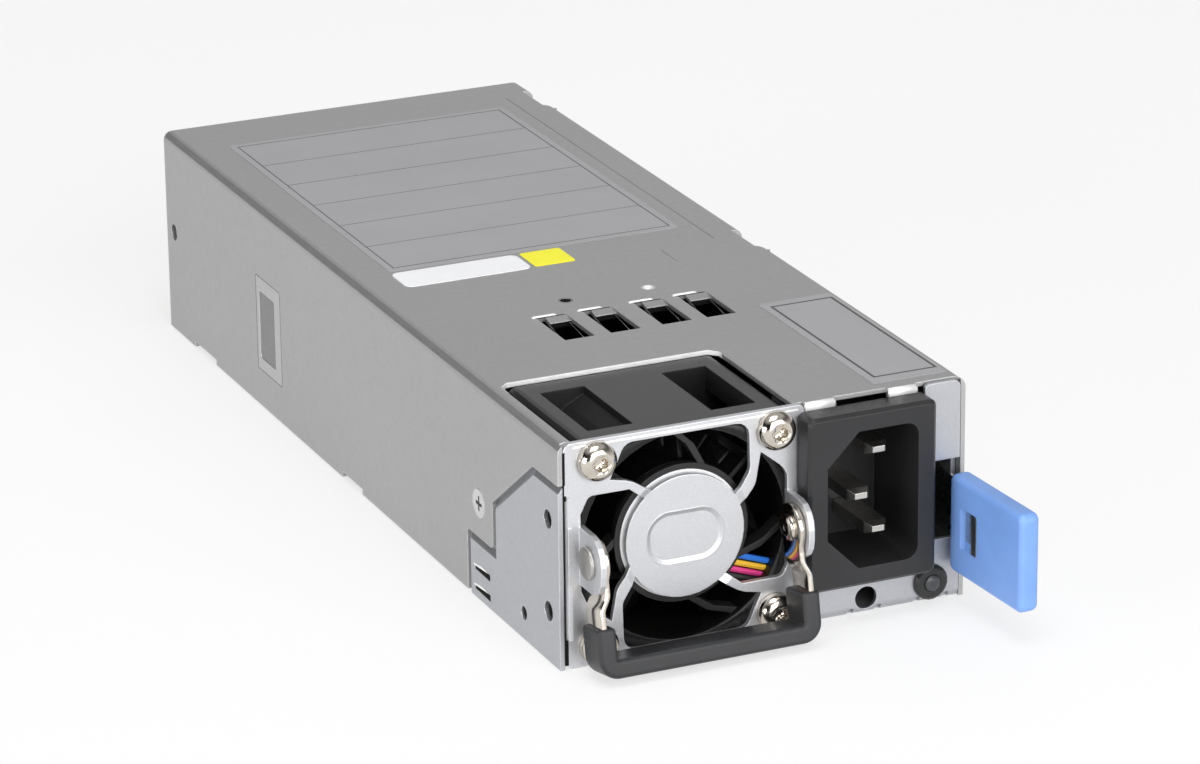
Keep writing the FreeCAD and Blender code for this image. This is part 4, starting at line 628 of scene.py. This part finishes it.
def screw_head(name, x, z):
    """A domed head with a six-lobed recess, over the plain CAD head: radii, and y from the front face."""
    dome = ((3.34, 0.0), (3.36, -0.45), (3.31, -0.95), (3.12, -1.45),
            (2.80, -1.88), (2.40, -2.2), (2.05, -2.37), (1.80, -2.43))
    recess = ((1.66, -2.40), (1.60, -2.30), (1.50, -1.1))
    bottom = (0.5, -0.95)
    rings = [circle(x, z, FRONT + y * MM, r * MM) for r, y in dome]
    rings += [circle(x, z, FRONT + y * MM, r * MM, lobes=6, depth=0.42 * MM) for r, y in recess]
    rings.append(circle(x, z, FRONT + bottom[1] * MM, bottom[0] * MM))
    return add_piece(name, stack(name, rings), "nickel_steel", "case")


def guard_screws():
    """Heads at the four corners of the fan."""
    low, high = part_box("guard_screws")
    reach = ((high.x - low.x) + (high.z - low.z)) / 4 - SCREW_HEAD * MM
    corners = [(i, k) for i in (-1, 1) for k in (-1, 1)]
    for number, (i, k) in enumerate(corners, 1):
        screw_head(f"guard_screw_head_{number}", FAN.x + i * reach, FAN.z + k * reach)


def fan_label():
    """The ring of plain paper on the motor's base."""
    inner, outer = LABEL_RADII
    y = FRONT + 1.98 * MM
    rings = [circle(FAN.x, FAN.z, y + back * MM, r * MM)
             for r, back in ((inner, 0.02), (inner, -0.02), (outer, -0.02), (outer, 0.02))]
    mesh = stack("motor_label", rings, wrapped=True)
    return add_piece("motor_label", mesh, "fan_label", "case", smooth=False)


def duct_liner():
    """The front of the fan's frame and the smooth inside of its duct, painted black in a darker copy of the
    fan plastic as shade.
    """
    low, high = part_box("fan_frame")
    half, front = (high.x - low.x) / 2 - 0.2 * MM, low.y - 0.015 * MM
    square = []
    for point in circle(FAN.x, FAN.z, front, 1.0, count=96):
        x, z = point.x - FAN.x, point.z - FAN.z
        reach = min(half / max(abs(x), abs(z)), 1.22 * half)
        square.append(Vector((FAN.x + reach * x, front, FAN.z + reach * z)))
    under = [point + Vector((0, 0.1 * MM, 0)) for point in square]
    duct = [(0.17, 0.0), (0.0, 0.25), (0.0, 1.0), (0.0, 11.0), (0.0, 27.0), (0.22, 27.0), (0.22, 0.1)]
    rings = [under, square]
    rings += [circle(FAN.x, FAN.z, front + y * MM, (DUCT_RADIUS + out) * MM, count=96) for out, y in duct]
    return add_piece("duct_liner", stack("duct_liner", rings, wrapped=True), "fan_plastic_in_shade", "case")


def panel_flank():
    """The sloping flank of the oblong pressed into the guard's middle."""
    x, z = FAN.x / MM, FAN.z / MM
    half_x, half_z, corner = OBLONG
    section = ((0.8, 1.0), (-0.12, 0.7), (-0.12, 0.49), (0.0, 0.50),
               (0.2, 0.57), (0.5, 0.72), (0.7, 0.785), (0.8, 0.795))
    rings = []
    for inset, y in section:
        plan = rounded_rectangle(x - half_x + inset, x + half_x - inset,
                                 z - half_z + inset, z + half_z - inset, corner - inset, steps=12)
        rings.append([on_top(u, y, v) for u, v in plan])
    return add_piece("panel_flank", stack("panel_flank", rings, wrapped=True), "guard_steel", "case")


def guard_corner():
    """The dark gap down the guard's left side in painted shade, and the bend along its top with a painted
    highlight.
    """
    low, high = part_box("fan_guard")
    left, right, top = low.x / MM, high.x / MM, high.z / MM
    levels = (0.7, 5.0, 29.3, 30.2, 32.0, 37.6)
    widths = (0.62, 0.2, 0.52, 0.2, 0.36)
    for number, (foot, head, width) in enumerate(zip(levels, levels[1:], widths), 1):
        gap = [(left - 0.02, foot), (left + width, foot), (left + width, head), (left - 0.02, head)]
        # painted shade in the gap beside the guard
        plate(f"guard_gap_shade_{number}", "painted_shade_black", facing_front, gap, 0.4, -0.012, 0.005)
    bend = ((0.1, -1.05), (-0.015, -1.0), (-0.02, -0.75), (0.03, -0.42),
            (0.16, -0.17), (0.38, 0.0), (0.6, -0.1))
    stations = ((left + 1.6, 0.03), (left + 2.0, 0.0), (right - 1.2, 0.0), (right - 0.8, 0.03))
    rings = [[on_top(x, y + inset, top + z - inset) for y, z in bend] for x, inset in stations]
    # painted highlight along the guard's top bend
    add_piece("guard_brow", stack("guard_brow", rings), "painted_highlight_steel", "case")


def lid_tabs():
    """The bent fronts of the lid's two tabs over the inlet, with a painted highlight."""
    inlet_low, inlet_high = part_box("inlet_housing")
    middle = (inlet_low.x + inlet_high.x) / 2 / MM
    guard_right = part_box("fan_guard")[1].x / MM
    bend = ((0.1, -1.7), (-0.02, -1.68), (-0.02, -0.7), (0.05, -0.38),
            (0.28, -0.1), (0.62, 0.012), (0.9, -0.05))
    spans = ((guard_right + 0.35, middle - 4.9), (middle + 5.1, middle + 10.1))
    for number, span in enumerate(spans, 1):
        rings = [[on_top(x, y, LID + z) for y, z in bend] for x in span]
        add_piece(f"lid_tab_{number}", stack(f"lid_tab_{number}", rings), "painted_highlight_steel", "case")


def led_dome():
    """The clear domed lens of the status light."""
    low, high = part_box("status_led")
    x, z, y = (low.x + high.x) / 2, (low.z + high.z) / 2, low.y
    dome = ((1.42, 0.3), (1.42, 0.1), (1.3, 0.0), (1.0, -0.14), (0.6, -0.22), (0.2, -0.25))
    rings = [circle(x, z, y + back * MM, r * MM, count=32) for r, back in dome]
    add_piece("led_dome", stack("led_dome", rings), "lens", "case")


# ---------------------------------------------------------------- bail handle
# millimetres, in the bail's own frame: the pivot at the origin, the bail hanging straight down
ears_low, ears_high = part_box("handle_rivets")
grip_low, grip_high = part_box("handle_grip")
PIVOT = (ears_low + ears_high) / 2
TILT = math.radians(10.85)
GRIP_HALF = (grip_high.x - grip_low.x) / 2 / MM
GRIP_LEG = 3.2
GRIP_DEPTH = 7.0
GRIP_TOP = -10.5
GRIP_END = -19.0
GRIP_CORNER = 3.3
STRAP_INNER = 16.9           # the strap's inner face at the eye, from the fan's axis
STRAP_THICK = 1.0
STRAP_EYE = 4.0              # the eye's radius
STRAP_HALF = 3.0             # half the arm's width
JOGGLE = 1.1                 # how far the arm steps out below the eye
JOGGLE_FROM = -5.2
JOGGLE_RUN = 2.8


def hang(point):
    """A point of the bail, in millimetres, at its place and lean."""
    return Matrix.Rotation(-TILT, 3, "X") @ (Vector(point) * MM) + PIVOT


def grip_path():
    """The grip's middle line with its heading, from the left leg round to the right one."""
    side, low, radius = GRIP_HALF - GRIP_LEG / 2, GRIP_END + GRIP_LEG / 2, GRIP_CORNER - GRIP_LEG / 2
    stations = [(-side, GRIP_TOP, 180)]
    for centre, start in ((-side + radius, 180), (side - radius, 270)):
        for k in range(10):
            angle = start + 90 * k / 9
            turn = math.radians(angle)
            stations.append((centre + radius * math.cos(turn), low + radius + radius * math.sin(turn), angle))
    stations.append((side, GRIP_TOP, 360))
    return stations


def handle_grip():
    """The moulded grip: one rounded section swept round the bail, with softened ends."""
    stations = grip_path()
    soft = ((0.55, 0.0), (0.16, 0.16), (0.0, 0.55))
    steps = [(inset, drop, stations[0]) for inset, drop in soft]
    steps += [(0.0, 0.0, station) for station in stations[1:-1]]
    steps += [(inset, drop, stations[-1]) for inset, drop in reversed(soft)]
    rings = []
    for inset, drop, (x, z, angle) in steps:
        turn = math.radians(angle)
        wide, deep = GRIP_LEG / 2 - inset, GRIP_DEPTH / 2 - inset
        section = rounded_rectangle(-wide, wide, -deep, deep, 0.75 - inset)
        rings.append([hang((x + out * math.cos(turn), y, z - drop + out * math.sin(turn)))
                      for out, y in section])
    grip = add_piece("grip_moulding", stack("grip_moulding", rings), "grip_plastic", "handle",
                     replaced=("handle_grip",))
    return even_normals(grip)


def strap_arm(name, side):
    """One steel arm: round eye, joggle and the run into the grip, with broken edges."""
    levels = [STRAP_EYE * math.cos(math.radians(a)) for a in range(8, 132, 8)]
    levels += [-3.0, -4.0, -5.2, -5.6, -6.2, -6.9, -7.5, -8.0, -10.0, -14.0, -17.6]
    levels = sorted(set(round(level, 3) for level in levels), reverse=True)
    rings = []
    for z in levels:
        half = max(math.sqrt(max(STRAP_EYE ** 2 - z ** 2, 0.0)), STRAP_HALF if z < 0 else 0.0)
        bend = min(max((JOGGLE_FROM - z) / JOGGLE_RUN, 0.0), 1.0)
        inner = STRAP_INNER + JOGGLE * (3 * bend ** 2 - 2 * bend ** 3)
        section = rounded_rectangle(inner, inner + STRAP_THICK, -half, half, min(0.22, 0.45 * half), steps=3)
        rings.append([hang((side * x, y, z)) for x, y in section])
    return add_piece(name, stack(name, rings), "nickel_steel", "handle")


def turned_about_pivot(name, look, side, profile, count=40):
    """A turned form on the pivot's axis: distances from the fan's axis and radii, in millimetres."""
    turns = [2 * math.pi * k / count for k in range(count)]
    rings = []
    for out, radius in profile:
        x, r = PIVOT.x + side * out * MM, radius * MM
        rings.append([Vector((x, PIVOT.y + r * math.cos(turn), PIVOT.z + r * math.sin(turn)))
                      for turn in turns])
    return add_piece(name, stack(name, rings), look, "case")


def handle_rivets():
    """Each rivet: a wide flat head outside the guard's lobe and a dimpled dome inside the strap."""
    outside = ((19.7, 0.3), (19.7, 2.35), (19.66, 2.6), (19.5, 2.74), (19.2, 2.76), (18.98, 2.76))
    inside = ((17.5, 1.45), (16.92, 1.45), (16.9, 2.3), (16.62, 2.28), (16.3, 2.0),
              (16.08, 1.5), (16.02, 1.1), (16.12, 0.7), (16.2, 0.3))
    for side, hand in ((-1, "left"), (1, "right")):
        head = turned_about_pivot(f"rivet_head_{hand}", "dull_steel", side, outside)
        turned_about_pivot(f"rivet_dome_{hand}", "nickel_steel", side, inside)
        if side < 0:
            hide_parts("handle_rivets")


def handle_straps():
    """The two arms, which stand in for the CAD strap together."""
    left = strap_arm("strap_left", -1)
    strap_arm("strap_right", 1)
    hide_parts("handle_strap")


# ---------------------------------------------------------------- latch tab
TAB_ROOT = (34.6, -2.3)                     # where the leaf enters the tab: x, and y from the front face
TAB_CANT = math.radians(3.0)
TAB = (33.3, 37.0, -24.0, -1.1, 5.8, 23.1)  # x0, x1, y0, y1, z0, z1 before it leans
TAB_EDGE = 1.05
TAB_CORNER = 1.4
TAB_WINDOW = (-9.9, -5.0, 10.9, 18.0)       # y0, y1, z0, z1
TAB_BARB = ((34.25, -7.6), (33.36, -8.2), (33.31, -8.5), (33.33, -9.85), (34.25, -9.85))


def lean(x, y, z):
    """A point of the tab, in millimetres, at its place and lean."""
    root = Vector((*TAB_ROOT, 0))
    turned = Matrix.Rotation(TAB_CANT, 3, "Z") @ (Vector((x, y, z)) - root) + root
    return Vector((turned.x * MM, FRONT + turned.y * MM, turned.z * MM))


def tab_loop(x, y0, y1, z0, z1, inset, radius):
    """A rounded outline across the tab, drawn in by the inset."""
    plan = rounded_rectangle(y0 + inset, y1 - inset, z0 + inset, z1 - inset, max(radius - inset, 0.15))
    return [lean(x, y, z) for y, z in plan]


def latch_tab():
    """The moulded tab: rounded all round, with a window that shows the leaf's barb in painted shade."""
    left, right, *outline = TAB
    rings = [tab_loop(left + depth, *TAB_WINDOW, inset, 0.5)
             for depth, inset in ((0.98, 0.1), (0.2, 0), (0.04, -0.06), (0.0, -0.25))]
    quarter = [math.radians(90 * k / 6) for k in range(7)]
    edge = [(TAB_EDGE * (1 - math.cos(turn)), TAB_EDGE * (1 - math.sin(turn))) for turn in quarter]
    rings += [tab_loop(left + depth, *outline, inset, TAB_CORNER) for depth, inset in edge]
    rings += [tab_loop(right - depth, *outline, inset, TAB_CORNER) for depth, inset in reversed(edge)]
    tab = add_piece("tab_moulding", stack("tab_moulding", rings), "tab_blue", "latch",
                    replaced=("latch_tab",))
    even_normals(tab)
    foot, head = TAB_WINDOW[2] + 0.12, TAB_WINDOW[3] - 0.12
    rings = [[lean(x, y, z) for x, y in TAB_BARB] for z in (foot, head)]
    # the barb in the darker copy of the spring steel: painted shade
    add_piece("tab_barb", stack("tab_barb", rings), "barb_steel_in_shade", "latch", smooth=False)


# ---------------------------------------------------------------- stage, lights and camera
def seen_directly(tree):
    """1 for camera, glossy and transmission rays, so that metal shows the background that the camera sees."""
    path = tree.nodes.new("ShaderNodeLightPath")
    value = path.outputs["Is Camera Ray"]
    for ray in ("Is Glossy Ray", "Is Transmission Ray"):
        value = joined(tree, "MAXIMUM", value, path.outputs[ray])
    return value


def floor():
    """White paper that keeps a soft shadow of the object."""
    corners = [(i * FLOOR_HALF, j * FLOOR_HALF, 0) for i, j in ((-1, -1), (1, -1), (1, 1), (-1, 1))]
    mesh = mesh_of("floor", corners, [(0, 1, 2, 3)])
    plane = bpy.data.objects.new("floor", mesh)
    bpy.context.scene.collection.objects.link(plane)
    plane.location.z = cad_box[0][2] - 0.05 * MM
    material = bpy.data.materials.new("floor")
    material.use_nodes = True
    tree = material.node_tree
    tree.nodes.clear()
    paper = tree.nodes.new("ShaderNodeBsdfDiffuse")
    paper.inputs["Color"].default_value = (0.9, 0.9, 0.9, 1)
    glow = tree.nodes.new("ShaderNodeEmission")
    mix = tree.nodes.new("ShaderNodeMixShader")
    tree.links.new(map_range(tree, seen_directly(tree), 0, 1, 0, FLOOR_GLOW), mix.inputs[0])
    tree.links.new(paper.outputs[0], mix.inputs[1])
    tree.links.new(glow.outputs[0], mix.inputs[2])
    out = tree.nodes.new("ShaderNodeOutputMaterial")
    tree.links.new(mix.outputs[0], out.inputs["Surface"])
    mesh.materials.append(material)


def world():
    """Plain white for the camera, and for metal white round the horizon and greyer overhead."""
    sky = bpy.data.worlds.new("studio")
    bpy.context.scene.world = sky
    sky.use_nodes = True
    tree = sky.node_tree
    tree.nodes.clear()
    coordinate = tree.nodes.new("ShaderNodeTexCoord")
    split = tree.nodes.new("ShaderNodeSeparateXYZ")
    tree.links.new(coordinate.outputs["Generated"], split.inputs[0])
    soft = tree.nodes.new("ShaderNodeBackground")
    soft.inputs["Strength"].default_value = AMBIENT
    backdrop = tree.nodes.new("ShaderNodeBackground")
    overhead = map_range(tree, split.outputs["Z"], 0.05, 0.5, 1.0, OVERHEAD)
    ceiling = map_range(tree, split.outputs["Z"], 0.55, 0.8, 0.0, CEILING)
    dim_side = map_range(tree, split.outputs["X"], -0.35, 0.15, DIM_SIDE, 1.0)
    raised = map_range(tree, split.outputs["Z"], 0.0, 0.12, 1.0, 0.0)
    strength = joined(tree, "MULTIPLY", overhead, joined(tree, "MAXIMUM", dim_side, raised))
    plain = tree.nodes.new("ShaderNodeLightPath").outputs["Is Camera Ray"]
    strength = joined(tree, "MAXIMUM", joined(tree, "MAXIMUM", strength, ceiling), plain)
    tree.links.new(strength, backdrop.inputs["Strength"])
    mix = tree.nodes.new("ShaderNodeMixShader")
    tree.links.new(seen_directly(tree), mix.inputs[0])
    tree.links.new(soft.outputs[0], mix.inputs[1])
    tree.links.new(backdrop.outputs[0], mix.inputs[2])
    out = tree.nodes.new("ShaderNodeOutputWorld")
    tree.links.new(mix.outputs[0], out.inputs["Surface"])


def lamp(name, place, power, size):
    light = bpy.data.lights.new(name, "AREA")
    light.energy = power
    light.size = size
    lamp_object = bpy.data.objects.new(name, light)
    bpy.context.scene.collection.objects.link(lamp_object)
    lamp_object.location = place
    lamp_object.rotation_euler = (Vector(LAMP_AIM) - Vector(place)).to_track_quat("-Z", "Y").to_euler()


def camera():
    data = bpy.data.cameras.new("camera")
    data.lens = LENS
    data.sensor_width = 36
    data.clip_start = 0.01
    eye = bpy.data.objects.new("camera", data)
    bpy.context.scene.collection.objects.link(eye)
    right, up = Vector(CAMERA_RIGHT), Vector(CAMERA_UP)
    turn = Matrix((right, up, right.cross(up))).transposed().to_4x4()
    eye.matrix_world = Matrix.Translation(CAMERA_PLACE) @ turn
    bpy.context.scene.camera = eye


# ---------------------------------------------------------------- build
dress_frame()
stickers()
keying_window()
wall_holes()
wall_lances()
pin_holes()
slot_edges()
opening_edge()
creases()
guard_screws()
fan_label()
duct_liner()
panel_flank()
guard_corner()
lid_tabs()
led_dome()
handle_grip()
handle_rivets()
handle_straps()
latch_tab()
floor()
world()
for lamp_name, settings in LAMPS.items():
    lamp(lamp_name, *settings)
camera()
bpy.context.scene.view_settings.view_transform = "Standard"
